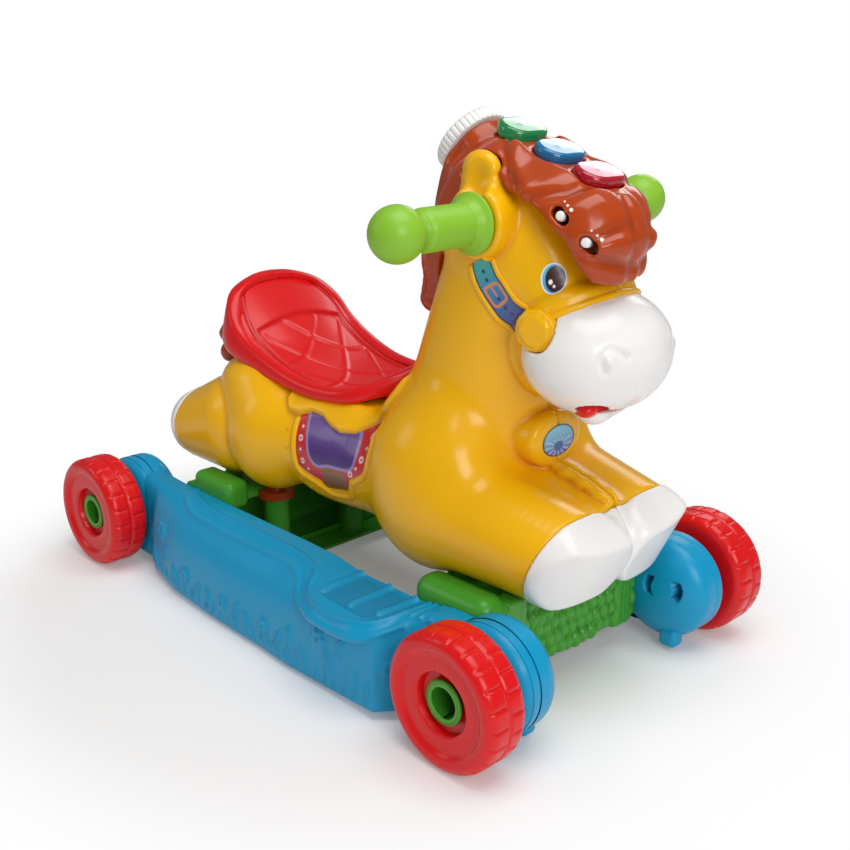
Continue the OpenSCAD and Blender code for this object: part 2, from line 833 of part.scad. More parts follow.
// Mane: a brown cap over the crown and down the neck that holds the controls
module mane() {
  $fn = detail_fn;
  color(brown) difference() {
    union() {
      difference() {
        mane_skin();
        mane_skin(-mane_wall);
      }
      intersection() {
        mane_skin(-0.5);
        union() {
          at_deck() for (p = deck_screw_places) translate([p[0], p[1], guide_top])
            cylinder(r = deck_boss_r, h = -guide_top, $fn = inner_fn);
          for (i = [-1, 1]) at_switch(i) slot(pad_r, -6, 6, -switch_pad, 2);
          at_dial() translate([0, 0, -dial_seat_t]) cylinder(r = dial_collar_r, h = dial_seat_t);
        }
      }
    }
    head_skin(seat_gap);
    noseband(seat_gap);
    at_deck() for (i = [-1 : 1]) translate([i * button_pitch, 0, 0])
      stadium(bored(button_r + moving_gap), guide_top + 1, cap_h);
    at_deck() for (p = deck_screw_places) translate([p[0], p[1], guide_top - 1])
      cylinder(r = deck_screw_r + 0.1, h = 10, $fn = inner_fn);
    at_dial() cylinder(r = dial_r + 3, h = cut / 8);
    at_dial() translate([0, 0, -dial_seat_t - 1])
      cylinder(r = bored(dial_pin_r + seat_gap), h = dial_seat_t + 2);
    at_switch(-1) slot(switch_slot_r, -volume_travel, volume_travel, -2 * switch_pad, cut / 20);
    at_switch(1) slot(switch_slot_r, 0, mode_travel, -2 * switch_pad, cut / 20);
    grip_ring_space();
  }
}

module grip_ring_space() {
  both_sides() translate([grip_axis[0], 0, grip_axis[2]])
    across(grip_flange_r + 6 + seat_gap, -head_w / 4, -head_w);
}

// Tail: brown locks on the rump, under the saddle's back
module tail() {
  color(brown) difference() {
    chain(tail_line);
    half_skin(seat_gap);
  }
}

// Saddle: stations from the top of its back to its front tip, as middle [x, z] and edge [x, y, z]
cantle_h = seat_h + cantle_rise;
saddle_stations = [
  [[-172, cantle_h], [-172, 22, cantle_h - 2]],
  [[-158, cantle_h - 7], [-164, 52, cantle_h - 14]],
  [[-118, cantle_h - 34], [-151, 70, cantle_h - 33]],
  [[-85, seat_h + 23], [-120, saddle_hw - 2, seat_h + 23]],
  [[-45, seat_h + 4], [-75, saddle_hw, seat_h + 10]],
  [[0, seat_h], [-25, saddle_hw - 1, seat_h + 10]],
  [[30, seat_h + 5], [25, saddle_hw - 6, seat_h + 13]],
  [[52, seat_h + 16], [52, 52, seat_h + 19]],
  [[65, seat_h + 27], [62, 22, seat_h + 26]]
];
saddle_t = 4;
saddle_cols = 8;
skirt_foot = up(96);

function saddle_point(s, v) = [
  lerp(s[0][0], s[1][0], v * v), v * s[1][1], lerp(s[0][1], s[1][2], v * v)
];
function saddle_edge(s, side) = [s[1][0], side * s[1][1], s[1][2]];

module rim_ball(p) {
  translate(p) sphere(rim_r, $fn = 12);
}

module skirt_ball(p) {
  translate([lerp(p[0], -60, 0.06), p[1] * 0.97, max(skirt_foot, p[2] - 60)]) sphere(rim_r - 2, $fn = 10);
}

module rim_piece(p, q) {
  hull() {
    rim_ball(p);
    rim_ball(q);
    skirt_ball(p);
    skirt_ball(q);
  }
}

module saddle_form() {
  last = len(saddle_stations) - 1;
  rings = [for (s = saddle_stations)
    concat(
      [for (c = [0 : saddle_cols]) saddle_point(s, 2 * c / saddle_cols - 1)],
      [for (c = [saddle_cols : -1 : 0]) saddle_point(s, 2 * c / saddle_cols - 1) - [0, 0, saddle_t]]
    )];
  loft(rings, folded = true);
  for (side = [-1, 1], i = [0 : last - 1])
    rim_piece(saddle_edge(saddle_stations[i], side), saddle_edge(saddle_stations[i + 1], side));
  for (i = [0, last])
    rim_piece(saddle_edge(saddle_stations[i], -1), saddle_edge(saddle_stations[i], 1));
}

module saddle() {
  color(red) difference() {
    saddle_form();
    both_sides() half_skin(seat_gap);
  }
}

// Handlebar: a steel tube through the head with a moulded grip on each end
tube_end = grip_reach - 18;
grip_base = collar_y + seat_gap;
grip_neck_r = grip_r - 2;
bulb_r = grip_r + bulb_rise;

module handlebar_tube() {
  color(steel) translate([grip_axis[0], 0, grip_axis[2]]) difference() {
    across(tube_r, -tube_end, tube_end);
    across(tube_r - 1.5, -tube_end - 1, tube_end + 1);
  }
}

module grip(side) {
  l = grip_reach - grip_base;
  flare = grip_flange_r - grip_r;
  color(lime) translate([grip_axis[0], 0, grip_axis[2]]) on_side(side)
    translate([0, -grip_base, 0]) rotate([90, 0, 0]) rotate_extrude($fn = 72) difference() {
      union() {
        square([grip_flange_r, 4]);
        difference() {
          translate([0, 4]) square([grip_flange_r, flare]);
          translate([grip_flange_r, 4 + flare]) circle(flare);
        }
        square([grip_r, l - 2 * bulb_r + 4]);
        translate([0, l - 2 * bulb_r]) square([grip_neck_r, bulb_r]);
        translate([0, l - bulb_r]) circle(bulb_r);
      }
      translate([-cut, -1]) square([cut, l + 2]);
      translate([0, -1]) square([tube_r + running_gap, tube_end - grip_base + 1.5]);
    }
}

// Push buttons on the crown, their guide, domes and board
module button(i, tint) {
  color(tint) at_deck() translate([i * button_pitch, 0, 0]) {
    stadium(button_r, -cap_h, -2);
    stadium(button_r - 2, -2 - eps, 0);
    translate([0, 0, stem_end]) cylinder(r = stem_r, h = -stem_end - cap_h + 1);
  }
}

module button_guide() {
  color(white) at_deck() difference() {
    union() {
      translate([0, 0, guide_top - guide_t]) linear_extrude(guide_t)
        offset(guide_corner) square(2 * [deck_l - guide_corner, deck_w - guide_corner], center = true);
      for (p = deck_screw_places) translate([p[0], p[1], board_top])
        cylinder(r = standoff_r, h = guide_top - board_top - 1);
    }
    for (i = [-1 : 1]) translate([i * button_pitch, 0, guide_top - guide_t - 1])
      cylinder(r = stem_r + running_gap, h = guide_t + 2);
    for (p = deck_screw_places) translate([p[0], p[1], board_top - 1])
      cylinder(r = deck_screw_r + running_gap, h = guide_top - board_top + 2);
  }
}

module button_domes() {
  color("#d9d6cf") at_deck() {
    translate([-deck_l + 2, -9, board_top]) cube([2 * deck_l - 4, 18, 1]);
    for (i = [-1 : 1]) translate([i * button_pitch, 0, board_top])
      cylinder(r1 = stem_r, r2 = stem_r - 1.5, h = stem_end - board_top - seat_gap);
  }
}

module circuit_board() {
  color("#1f6b3a") at_deck() difference() {
    translate([-deck_l + 1, -deck_w + 1, board_top - board_t])
      cube([2 * deck_l - 2, 2 * deck_w - 2, board_t]);
    for (p = deck_screw_places) translate([p[0], p[1], board_top - board_t - 1])
      cylinder(r = deck_screw_r + running_gap, h = board_t + 2);
  }
}

module deck_screws() {
  color(steel) at_deck() for (p = deck_screw_places) translate([p[0], p[1], board_top - board_t]) {
    cylinder(r = deck_screw_r, h = guide_top + 8 - board_top + board_t);
    translate([0, 0, -2]) cylinder(r = 2 * deck_screw_r, h = 2);
  }
}

// Dial: a ribbed ring that turns on a headed pin fixed in the mane
dial_head_t = 3;
dial_ribs = 40;

module dial_pin() {
  top = dial_t - dial_head_t;
  color(white) at_dial() {
    translate([0, 0, -dial_seat_t - 2]) cylinder(r = dial_pin_r, h = top + dial_seat_t + 2);
    translate([0, 0, top]) cylinder(r = dial_pin_r + 3, h = dial_head_t);
    translate([0, 0, -dial_seat_t - 4]) cylinder(r = dial_pin_r + 2, h = 4 - seat_gap);
  }
}

module dial() {
  top = dial_t - dial_head_t;
  color(white) at_dial() difference() {
    translate([0, 0, seat_gap]) cylinder(r = dial_r, h = dial_t - seat_gap);
    translate([0, 0, -1]) cylinder(r = dial_pin_r + running_gap, h = dial_t + 2);
    translate([0, 0, top - seat_gap]) cylinder(r = dial_pin_r + 3 + moving_gap, h = dial_t);
    for (i = [0 : dial_ribs - 1]) rotate(i * 360 / dial_ribs) translate([dial_r + 0.6, 0, -1])
      cylinder(r = 1.6, h = dial_t + 2);
  }
}

// Slide switches: round knobs on flat stems that ride in small housings
knob_h = 5;
stem = [3, 3];

module knob(i) {
  color(white) at_switch(i) {
    translate([0, 0, -switch_pad]) cylinder(r = knob_r, h = switch_pad + knob_h);
    translate([-stem[0] / 2, -stem[1] / 2, -switch_pad - switch_drop - 4])
      cube([stem[0], stem[1], switch_drop + 5]);
  }
}

module switch_bodies() {
  color("#2b2b2e") for (i = [-1, 1]) at_switch(i)
    translate([i > 0 ? mode_travel / 2 - 1 : 0, 0, -switch_pad - switch_drop]) difference() {
      translate([-switch_body[0] / 2, -switch_body[1] / 2, -switch_body[2]]) cube(switch_body);
      translate([-6, -stem[1] / 2 - seat_gap, -5]) cube([12, stem[1] + 2 * seat_gap, 6]);
    }
}

// Power and sound: cells in a box over the belly door, a speaker over the grille, and the loom
cell_r = 7.1;
cell_l = 50.5;
box_wall = 2;
box_top = bay_top + 12;

module battery_box() {
  color("#3a3a3d") difference() {
    union() {
      bay_box(-0.5, belly_h + 1, box_top);
      bay_box(bay_rim / 2, bay_top, bay_top + box_wall);
    }
    bay_box(-0.5 - box_wall, belly_h, box_top - box_wall);
  }
}

module battery_cells() {
  mid = (bay[0][0] + bay[0][1]) / 2;
  color("#c98b2b") for (y = [-18, 0, 18])
    translate([mid - cell_l / 2, y, box_top - box_wall - cell_r - seat_gap]) rotate([0, 90, 0]) {
      cylinder(r = cell_r, h = cell_l - 1.5);
      cylinder(r = 2.7, h = cell_l);
    }
}

module battery_door() {
  color(yellow) bay_box(-seat_gap, bay_floor, belly_h + 1 - seat_gap);
}

module speaker() {
  color("#2b2b2e") translate([speaker_x, 0, speaker_seat]) {
    cylinder(r = speaker_r - 0.5, h = 4);
    translate([0, 0, 4 - eps]) cylinder(r1 = speaker_r - 4, r2 = 14, h = 6);
    translate([0, 0, 10 - 2 * eps]) cylinder(r = 14, h = 6);
  }
}

loom_r = 2;
loom_sides = 8;
loom_foot = [bay[0][0] + 12, 0, box_top];
loom_top = head[0] + [-10, 0, 42];
loom_route = concat(
  [for (p = [[0, 0], [0, 9], [18, 23]]) loom_foot + [p[0], 0, p[1]]],
  [[40, 0, up(72)], [90, 0, up(108)], [125, 0, lerp(up(108), loom_top[2], 54 / 219)]],
  [for (p = [[-15, -105], [-9, -47], [-5, -19], [0, 0]]) loom_top + [p[0], 0, p[1]]]
);

function unit(v) = v / norm(v);
function loom_heading(i) =
  unit(loom_route[min(i + 1, len(loom_route) - 1)] - loom_route[max(i - 1, 0)]);
function loom_ring(i) =
  let (t = loom_heading(i), n = [-t[2], 0, t[0]])
  [for (j = [0 : loom_sides - 1])
    let (a = 360 * j / loom_sides)
    loom_route[i] + loom_r * (n * cos(a) + [0, 1, 0] * sin(a))];

module wire_loom() {
  color("#222222") loft([for (i = [0 : len(loom_route) - 1]) loom_ring(i)]);
}

color(blue) rail();  // right_rail
color(blue) on_side(1) rail();  // left_rail
color(blue) rail_cover();  // right_rail_cover
color(blue) on_side(1) rail_cover();  // left_rail_cover
front_cross_beam();
rear_cross_beam();
beam_screws();
post_collars();
axle_at(1, -1);  // front_right_axle
axle_at(1, 1);  // front_left_axle
axle_at(-1, -1);  // rear_right_axle
axle_at(-1, 1);  // rear_left_axle
wheel_at(1, -1);  // front_right_wheel
wheel_at(1, 1);  // front_left_wheel
wheel_at(-1, -1);  // rear_right_wheel
wheel_at(-1, 1);  // rear_left_wheel
body_right_shell();
body_left_shell();
body_screws();
front_hoof(-1);  // front_right_hoof
front_hoof(1);  // front_left_hoof
rear_hoof(-1);  // rear_right_hoof
rear_hoof(1);  // rear_left_hoof
muzzle();
tongue();
mane();
tail();
saddle();
eye(-1);  // right_eye
eye(1);  // left_eye
strap_label(-1);  // right_strap_label
strap_label(1);  // left_strap_label
flap_label(-1);  // right_flap_label
flap_label(1);  // left_flap_label
chest_badge();
handlebar_tube();
grip(-1);  // right_grip
grip(1);  // left_grip
button(-1, "#1f9d4d");  // green_button
button(0, "#1b86c4");  // blue_button
button(1, "#d0182f");  // red_button
button_guide();
button_domes();
circuit_board();
deck_screws();
dial_pin();
dial();
knob(-1);  // volume_knob
knob(1);  // mode_knob
switch_bodies();
battery_box();
battery_cells();
battery_door();
speaker();
wire_loom();
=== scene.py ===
import math
import bpy
import numpy as np
from mathutils import Matrix, Vector
from mathutils.bvhtree import BVHTree


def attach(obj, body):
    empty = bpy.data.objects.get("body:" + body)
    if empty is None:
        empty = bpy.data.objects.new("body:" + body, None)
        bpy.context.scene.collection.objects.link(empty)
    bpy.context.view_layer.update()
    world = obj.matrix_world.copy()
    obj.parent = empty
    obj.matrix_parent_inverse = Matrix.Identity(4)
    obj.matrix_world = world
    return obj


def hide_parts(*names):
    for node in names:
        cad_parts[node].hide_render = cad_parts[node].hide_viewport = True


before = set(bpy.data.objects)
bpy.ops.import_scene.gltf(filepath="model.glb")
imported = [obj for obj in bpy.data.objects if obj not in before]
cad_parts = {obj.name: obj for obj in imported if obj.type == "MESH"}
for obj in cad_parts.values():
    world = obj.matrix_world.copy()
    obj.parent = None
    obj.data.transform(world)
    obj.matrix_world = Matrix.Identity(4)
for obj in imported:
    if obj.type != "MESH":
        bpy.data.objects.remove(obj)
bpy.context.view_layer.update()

# Camera: a long studio lens at the height of a child's head, looking down a little on the
# pony's right front. The small shift is the crop of the picture.
scene = bpy.context.scene
scene.view_settings.view_transform = "Standard"
camera = bpy.data.objects.new("camera", bpy.data.cameras.new("camera"))
scene.collection.objects.link(camera)
scene.camera = camera
azimuth = math.radians(45.943)
elevation = math.radians(18.438)
reach = math.cos(elevation)
back = Vector((math.sin(azimuth) * reach, -math.cos(azimuth) * reach, math.sin(elevation)))
right = Vector((0, 0, 1)).cross(back).normalized()
turn = Matrix((right, back.cross(right), back)).transposed().to_4x4()
stand = Matrix.Translation((0.78132, -0.71094, 0.51813))
camera.matrix_world = stand @ turn @ Matrix.Rotation(math.radians(0.114), 4, "Z")
camera.data.sensor_width = 36
camera.data.lens = 49.2
camera.data.shift_x = 0.0088
camera.data.shift_y = 0.0064
camera.data.clip_end = 60


# Floor and light: a white sheet under a broad overhead softbox, with a window box at the right front
# and two weak boxes, one at the right rear and one behind the left, inside a pale room.
def flat_panel(name, size, place, aim, power):
    lamp = bpy.data.lights.new(name, "AREA")
    lamp.shape = "RECTANGLE"
    lamp.size = size[0]
    lamp.size_y = size[1]
    lamp.energy = power
    panel = bpy.data.objects.new(name, lamp)
    panel.location = place
    panel.rotation_euler = (Vector(aim) - Vector(place)).to_track_quat("-Z", "Y").to_euler()
    scene.collection.objects.link(panel)


flat_panel("overhead_softbox", (1.6, 1.3), (0.5, -0.05, 2.0), (0.04, 0, 0.2), 23)
flat_panel("window_box", (0.9, 0.9), (1.75, -0.8, 1.05), (0.08, 0, 0.25), 14)
flat_panel("side_box", (0.6, 0.9), (-1.3, -1.5, 1.1), (-0.05, 0, 0.2), 3)
flat_panel("rear_box", (1.0, 0.6), (-0.5, 1.6, 1.2), (0, 0, 0.25), 5)

# the room lights the pony weakly and is seen as plain white
room = bpy.data.worlds.new("pale_room")
scene.world = room
room.use_nodes = True
nodes = room.node_tree.nodes
links = room.node_tree.links
nodes.clear()
light_sky = nodes.new("ShaderNodeBackground")
light_sky.inputs["Color"].default_value = (1, 1, 1, 1)
light_sky.inputs["Strength"].default_value = 0.22
seen_sky = nodes.new("ShaderNodeBackground")
seen_sky.inputs["Color"].default_value = (1, 1, 1, 1)
path = nodes.new("ShaderNodeLightPath")
sky_mix = nodes.new("ShaderNodeMixShader")
sky_out = nodes.new("ShaderNodeOutputWorld")
links.new(path.outputs["Is Camera Ray"], sky_mix.inputs["Fac"])
links.new(light_sky.outputs["Background"], sky_mix.inputs[1])
links.new(seen_sky.outputs["Background"], sky_mix.inputs[2])
links.new(sky_mix.outputs["Shader"], sky_out.inputs["Surface"])

# the sheet keeps the shadow under the pony and fades to plain white away from it
floor_mesh = bpy.data.meshes.new("floor")
floor_mesh.from_pydata([(-14, -14, 0), (14, -14, 0), (14, 14, 0), (-14, 14, 0)], [], [(0, 1, 2, 3)])
floor = bpy.data.objects.new("floor", floor_mesh)
scene.collection.objects.link(floor)
sheet = bpy.data.materials.new("white_sheet")
sheet.use_nodes = True
sheet_shader = sheet.node_tree.nodes["Principled BSDF"]
sheet_shader.inputs["Base Color"].default_value = (0.96, 0.96, 0.96, 1)
sheet_shader.inputs["Roughness"].default_value = 0.9
sheet_shader.inputs["Specular IOR Level"].default_value = 0.1
floor_mesh.materials.append(sheet)
nodes = sheet.node_tree.nodes
links = sheet.node_tree.links
glare = nodes.new("ShaderNodeEmission")
glare.inputs["Color"].default_value = (1, 1, 1, 1)
where = nodes.new("ShaderNodeTexCoord")
far_off = nodes.new("ShaderNodeVectorMath")
far_off.operation = "LENGTH"
fade = nodes.new("ShaderNodeMapRange")
fade.interpolation_type = "SMOOTHSTEP"
fade.inputs["From Min"].default_value = 0.31
fade.inputs["From Max"].default_value = 0.48
fade.inputs["To Min"].default_value = 0.15
seen = nodes.new("ShaderNodeLightPath")
faded = nodes.new("ShaderNodeMath")
faded.operation = "MULTIPLY"
sheet_mix = nodes.new("ShaderNodeMixShader")
links.new(where.outputs["Object"], far_off.inputs[0])
links.new(far_off.outputs["Value"], fade.inputs["Value"])
links.new(fade.outputs["Result"], faded.inputs[0])
links.new(seen.outputs["Is Camera Ray"], faded.inputs[1])
links.new(faded.outputs["Value"], sheet_mix.inputs["Fac"])
links.new(sheet_shader.outputs["BSDF"], sheet_mix.inputs[1])
links.new(glare.outputs["Emission"], sheet_mix.inputs[2])
links.new(sheet_mix.outputs["Shader"], nodes["Material Output"].inputs["Surface"])


# Body: two glossy yellow blow-moulded halves screwed together on the middle plane. The right half
# is grown from the limbs' round forms, blended into each other, and the left half mirrors it. Like
# every moulding it is coloured right through, with a faint mottle and a fine moulded texture.
def linear(code):
    """A colour written as #rrggbb in the shader's own measure."""
    parts = [int(code[i:i + 2], 16) / 255 for i in (1, 3, 5)]
    return [c / 12.92 if c < 0.04045 else ((c + 0.055) / 1.055) ** 2.4 for c in parts] + [1]


def socket(group, name, kind, way="INPUT", value=None):
    made = group.interface.new_socket(name, in_out=way, socket_type=kind)
    if value is not None:
        made.default_value = value


# the moulded finish: a faint random mottle, a fine grain, and painted shade that turns the colour darker in
# creases
finish = bpy.data.node_groups.new("moulded_finish", "ShaderNodeTree")
socket(finish, "Colour", "NodeSocketColor", value=(0.8, 0.8, 0.8, 1))
socket(finish, "Shade colour", "NodeSocketColor", value=(0.4, 0.4, 0.4, 1))
socket(finish, "Painted shade", "NodeSocketFloat", value=0.0)
socket(finish, "Polish", "NodeSocketFloat", value=0.25)
socket(finish, "Grain", "NodeSocketFloat", value=900.0)
socket(finish, "Colour", "NodeSocketColor", "OUTPUT")
socket(finish, "Roughness", "NodeSocketFloat", "OUTPUT")
socket(finish, "Height", "NodeSocketFloat", "OUTPUT")
nodes = finish.nodes
links = finish.links
given = nodes.new("NodeGroupInput")
result = nodes.new("NodeGroupOutput")
place = nodes.new("ShaderNodeTexCoord")
mottle = nodes.new("ShaderNodeTexNoise")
mottle.inputs["Scale"].default_value = 14
mottle.inputs["Detail"].default_value = 3
grain = nodes.new("ShaderNodeTexNoise")
grain.inputs["Detail"].default_value = 2
shade = nodes.new("ShaderNodeHueSaturation")
level = nodes.new("ShaderNodeMapRange")
level.inputs["To Min"].default_value = 0.965
level.inputs["To Max"].default_value = 1.035
shade_mix = nodes.new("ShaderNodeMix")
shade_mix.data_type = "RGBA"
polish = nodes.new("ShaderNodeMath")
polish.operation = "MULTIPLY_ADD"
polish.inputs[1].default_value = 0.09
links.new(place.outputs["Object"], mottle.inputs["Vector"])
links.new(place.outputs["Object"], grain.inputs["Vector"])
links.new(given.outputs["Grain"], grain.inputs["Scale"])
links.new(mottle.outputs["Fac"], level.inputs["Value"])
links.new(level.outputs["Result"], shade.inputs["Value"])
# painted shade: the crease input mixes the darker shade colour into the colour
links.new(given.outputs["Painted shade"], shade_mix.inputs[0])
links.new(given.outputs["Colour"], shade_mix.inputs[6])
links.new(given.outputs["Shade colour"], shade_mix.inputs[7])
links.new(shade_mix.outputs[2], shade.inputs["Color"])
links.new(mottle.outputs["Fac"], polish.inputs[0])
links.new(given.outputs["Polish"], polish.inputs[2])
links.new(shade.outputs["Color"], result.inputs["Colour"])
links.new(polish.outputs["Value"], result.inputs["Roughness"])
links.new(grain.outputs["Fac"], result.inputs["Height"])


def plastic(name, colour, shade_colour, polish, bump, coat, shade_layer=None, clear=0.0):
    """A moulded finish. Where the named mesh layer is 1, the colour turns to the darker second one: painted
    shade in the creases.
    """
    made = bpy.data.materials.new(name)
    made.use_nodes = True
    tree = made.node_tree
    shader = tree.nodes["Principled BSDF"]
    moulded = tree.nodes.new("ShaderNodeGroup")
    moulded.node_tree = finish
    moulded.inputs["Colour"].default_value = linear(colour)
    moulded.inputs["Shade colour"].default_value = linear(shade_colour)
    moulded.inputs["Polish"].default_value = polish
    moulded.inputs["Grain"].default_value = 900
    if shade_layer:
        # the mesh layer that holds the painted crease shade
        painted_shade_node = tree.nodes.new("ShaderNodeAttribute")
        painted_shade_node.attribute_name = shade_layer
        tree.links.new(painted_shade_node.outputs["Fac"], moulded.inputs["Painted shade"])
    relief = tree.nodes.new("ShaderNodeBump")
    relief.inputs["Strength"].default_value = bump
    relief.inputs["Distance"].default_value = 0.0004
    tree.links.new(moulded.outputs["Height"], relief.inputs["Height"])
    tree.links.new(moulded.outputs["Colour"], shader.inputs["Base Color"])
    tree.links.new(moulded.outputs["Roughness"], shader.inputs["Roughness"])
    tree.links.new(relief.outputs["Normal"], shader.inputs["Normal"])
    shader.inputs["Specular IOR Level"].default_value = 0.32
    shader.inputs["Coat Weight"].default_value = coat
    shader.inputs["Coat Roughness"].default_value = 0.08
    shader.inputs["Transmission Weight"].default_value = clear
    return made


def piece(name, points, faces, material, slot, body="pony", stands_for=(), smooth=True, extra=None):
    """A mesh given in millimetres that rides on a body and may stand for nodes of the part."""
    mesh = bpy.data.meshes.new(name)
    mesh.from_pydata((np.asarray(points, float) * 0.001).tolist(), [], [list(map(int, f)) for f in faces])
    mesh.validate()
    mesh.polygons.foreach_set("use_smooth", [smooth] * len(mesh.polygons))
    for key, values in (extra or {}).items():
        layer = mesh.attributes.new(key, "FLOAT", "POINT")
        layer.data.foreach_set("value", np.asarray(values, np.float32))
    mesh.materials.append(material)
    made = bpy.data.objects.new(name, mesh)
    scene.collection.objects.link(made)
    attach(made, body)
    if stands_for:
        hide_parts(*stands_for)


class Clay:
    """A block of space in millimetres that forms are added to and cut from."""
    margin = 14

    def __init__(self, low, high, step):
        self.low = np.array(low, float)
        self.step = step
        count = np.ceil((np.array(high) - self.low) / step).astype(int) + 1
        self.axes = [(self.low[i] + step * np.arange(count[i])).astype(np.float32) for i in range(3)]
        self.field = np.full(count, 300.0, np.float32)

    def window(self, low, high):
        spans = []
        for i in range(3):
            size = len(self.axes[i])
            first = int(np.clip(np.floor((low[i] - self.low[i]) / self.step), 0, size - 2))
            last = int(np.clip(np.ceil((high[i] - self.low[i]) / self.step) + 1, first + 2, size))
            spans.append(slice(first, last))
        x = self.axes[0][spans[0]][:, None, None]
        y = self.axes[1][spans[1]][None, :, None]
        z = self.axes[2][spans[2]][None, None, :]
        return tuple(spans), x, y, z

    def whole(self):
        return self.window(self.low - 1, self.low + self.step * np.array(self.field.shape))

    def join(self, spans, form, blend=0):
        old = self.field[spans]
        if blend > 0:
            share = np.clip(0.5 + 0.5 * (old - form) / blend, 0, 1)
            self.field[spans] = old * (1 - share) + form * share - blend * share * (1 - share)
        else:
            self.field[spans] = np.minimum(old, form)

    def cut(self, spans, form, blend=0):
        old = self.field[spans]
        if blend > 0:
            share = np.clip(0.5 - 0.5 * (old + form) / blend, 0, 1)
            self.field[spans] = old * (1 - share) - form * share + blend * share * (1 - share)
        else:
            self.field[spans] = np.maximum(old, -form)

    def ball(self, centre, radii, blend=0, carve=False):
        reach = np.array(radii) + blend + self.margin
        spans, x, y, z = self.window(np.array(centre) - reach, np.array(centre) + reach)
        form = round_form(x, y, z, centre, radii)
        if carve:
            self.cut(spans, form, blend)
        else:
            self.join(spans, form, blend)

    def limb(self, start, end, blend=0, grow=0):
        reach = np.maximum(start[1], end[1]) + grow + blend + self.margin
        low = np.minimum(start[0], end[0]) - reach
        high = np.maximum(start[0], end[0]) + reach
        spans, x, y, z = self.window(low, high)
        self.join(spans, limb_form(x, y, z, start, end) - grow, blend)

    def skin(self):
        return net(self.field, self.low, self.step)


def round_form(x, y, z, centre, radii):
    """How far each place lies outside an egg shape; below zero inside it."""
    u = (x - centre[0]) / radii[0]
    v = (y - centre[1]) / radii[1]
    w = (z - centre[2]) / radii[2]
    far = np.sqrt(u * u + v * v + w * w)
    slope = np.sqrt((u / radii[0]) ** 2 + (v / radii[1]) ** 2 + (w / radii[2]) ** 2)
    return far * (far - 1) / np.maximum(slope, 1e-6)


def limb_form(x, y, z, start, end):
    """The same for a limb between two egg shapes, each a centre and its radii."""
    length = np.linalg.norm(np.subtract(end[0], start[0]))
    form = None
    for share in np.linspace(0, 1, int(length / 8) + 2):
        centre = np.array(start[0]) * (1 - share) + np.array(end[0]) * share
        radii = np.array(start[1]) * (1 - share) + np.array(end[1]) * share
        ball = round_form(x, y, z, centre, radii)
        form = ball if form is None else np.minimum(form, ball)
    return form


def block_form(x, y, z, centre, half, corner):
    """The same for a block with rounded corners."""
    u = np.abs(x - centre[0]) - half[0] + corner
    v = np.abs(y - centre[1]) - half[1] + corner
    w = np.abs(z - centre[2]) - half[2] + corner
    outside = np.sqrt(np.maximum(u, 0) ** 2 + np.maximum(v, 0) ** 2 + np.maximum(w, 0) ** 2)
    return outside + np.minimum(np.maximum(u, np.maximum(v, w)), 0) - corner


def net(field, low, step):
    """The skin where a field is zero, with one point in each cell that it crosses."""
    inside = field < 0
    shape = field.shape
    corners = [(i, j, k) for i in (0, 1) for j in (0, 1) for k in (0, 1)]
    count = np.zeros([s - 1 for s in shape], np.int8)
    for i, j, k in corners:
        count += inside[i:shape[0] - 1 + i, j:shape[1] - 1 + j, k:shape[2] - 1 + k]
    mixed = (count > 0) & (count < 8)
    cells = np.stack(np.nonzero(mixed), -1)
    number = np.full(mixed.shape, -1, np.int32)
    number[mixed] = np.arange(len(cells))
    values = np.stack([field[cells[:, 0] + i, cells[:, 1] + j, cells[:, 2] + k] for i, j, k in corners])
    place = np.zeros((len(cells), 3))
    hits = np.zeros(len(cells))
    for a in range(8):
        for b in range(a + 1, 8):
            along = np.array(corners[b]) - np.array(corners[a])
            if np.abs(along).sum() != 1:
                continue
            crossed = (values[a] < 0) != (values[b] < 0)
            share = np.where(crossed, values[a] / np.where(crossed, values[a] - values[b], 1), 0)
            place += np.where(crossed[:, None], np.array(corners[a]) + share[:, None] * along, 0)
            hits += crossed
    points = np.asarray(low) + (cells + place / hits[:, None]) * step
    faces = []
    for axis in range(3):
        near = [slice(None)] * 3
        far = [slice(None)] * 3
        near[axis] = slice(0, -1)
        far[axis] = slice(1, None)
        edge = np.stack(np.nonzero(inside[tuple(near)] != inside[tuple(far)]), -1)
        p, q = [(1, 2), (2, 0), (0, 1)][axis]
        kept = (edge[:, p] > 0) & (edge[:, q] > 0) & (edge[:, p] < shape[p] - 1) & (edge[:, q] < shape[q] - 1)
        edge = edge[kept]
        ring = []
        for dp, dq in ((1, 1), (0, 1), (0, 0), (1, 0)):
            cell = edge.copy()
            cell[:, p] -= dp
            cell[:, q] -= dq
            ring.append(number[cell[:, 0], cell[:, 1], cell[:, 2]])
        quad = np.stack(ring, -1)
        leaving = inside[tuple(near)][tuple(edge.T)]
        quad[~leaving] = quad[~leaving][:, ::-1]
        faces.append(quad)
    return points, np.concatenate(faces)


def neighbours(points, faces):
    """The mean of the points that share an edge with each point."""
    total = np.zeros_like(points)
    count = np.zeros(len(points))
    for i in range(faces.shape[1]):
        j = (i + 1) % faces.shape[1]
        for a, b in ((faces[:, i], faces[:, j]), (faces[:, j], faces[:, i])):
            for c in range(3):
                total[:, c] += np.bincount(a, points[b, c], len(points))
            count += np.bincount(a, minlength=len(points))
    return total / np.maximum(count, 1)[:, None]


def eased(points, faces, rounds=2):
    """Points smoothed back and forth, so that the shape does not shrink."""
    for _ in range(rounds):
        points = points + 0.5 * (neighbours(points, faces) - points)
        points = points - 0.52 * (neighbours(points, faces) - points)
    return points


def outward(points, faces):
    """The way out of the surface at each point."""
    a = points[faces[:, 0]]
    across = np.cross(points[faces[:, 2]] - a, points[faces[:, -1]] - points[faces[:, 1]])
    total = np.zeros_like(points)
    for i in range(faces.shape[1]):
        for c in range(3):
            total[:, c] += np.bincount(faces[:, i], across[:, c], len(points))
    return total / np.maximum(np.linalg.norm(total, axis=1), 1e-9)[:, None]


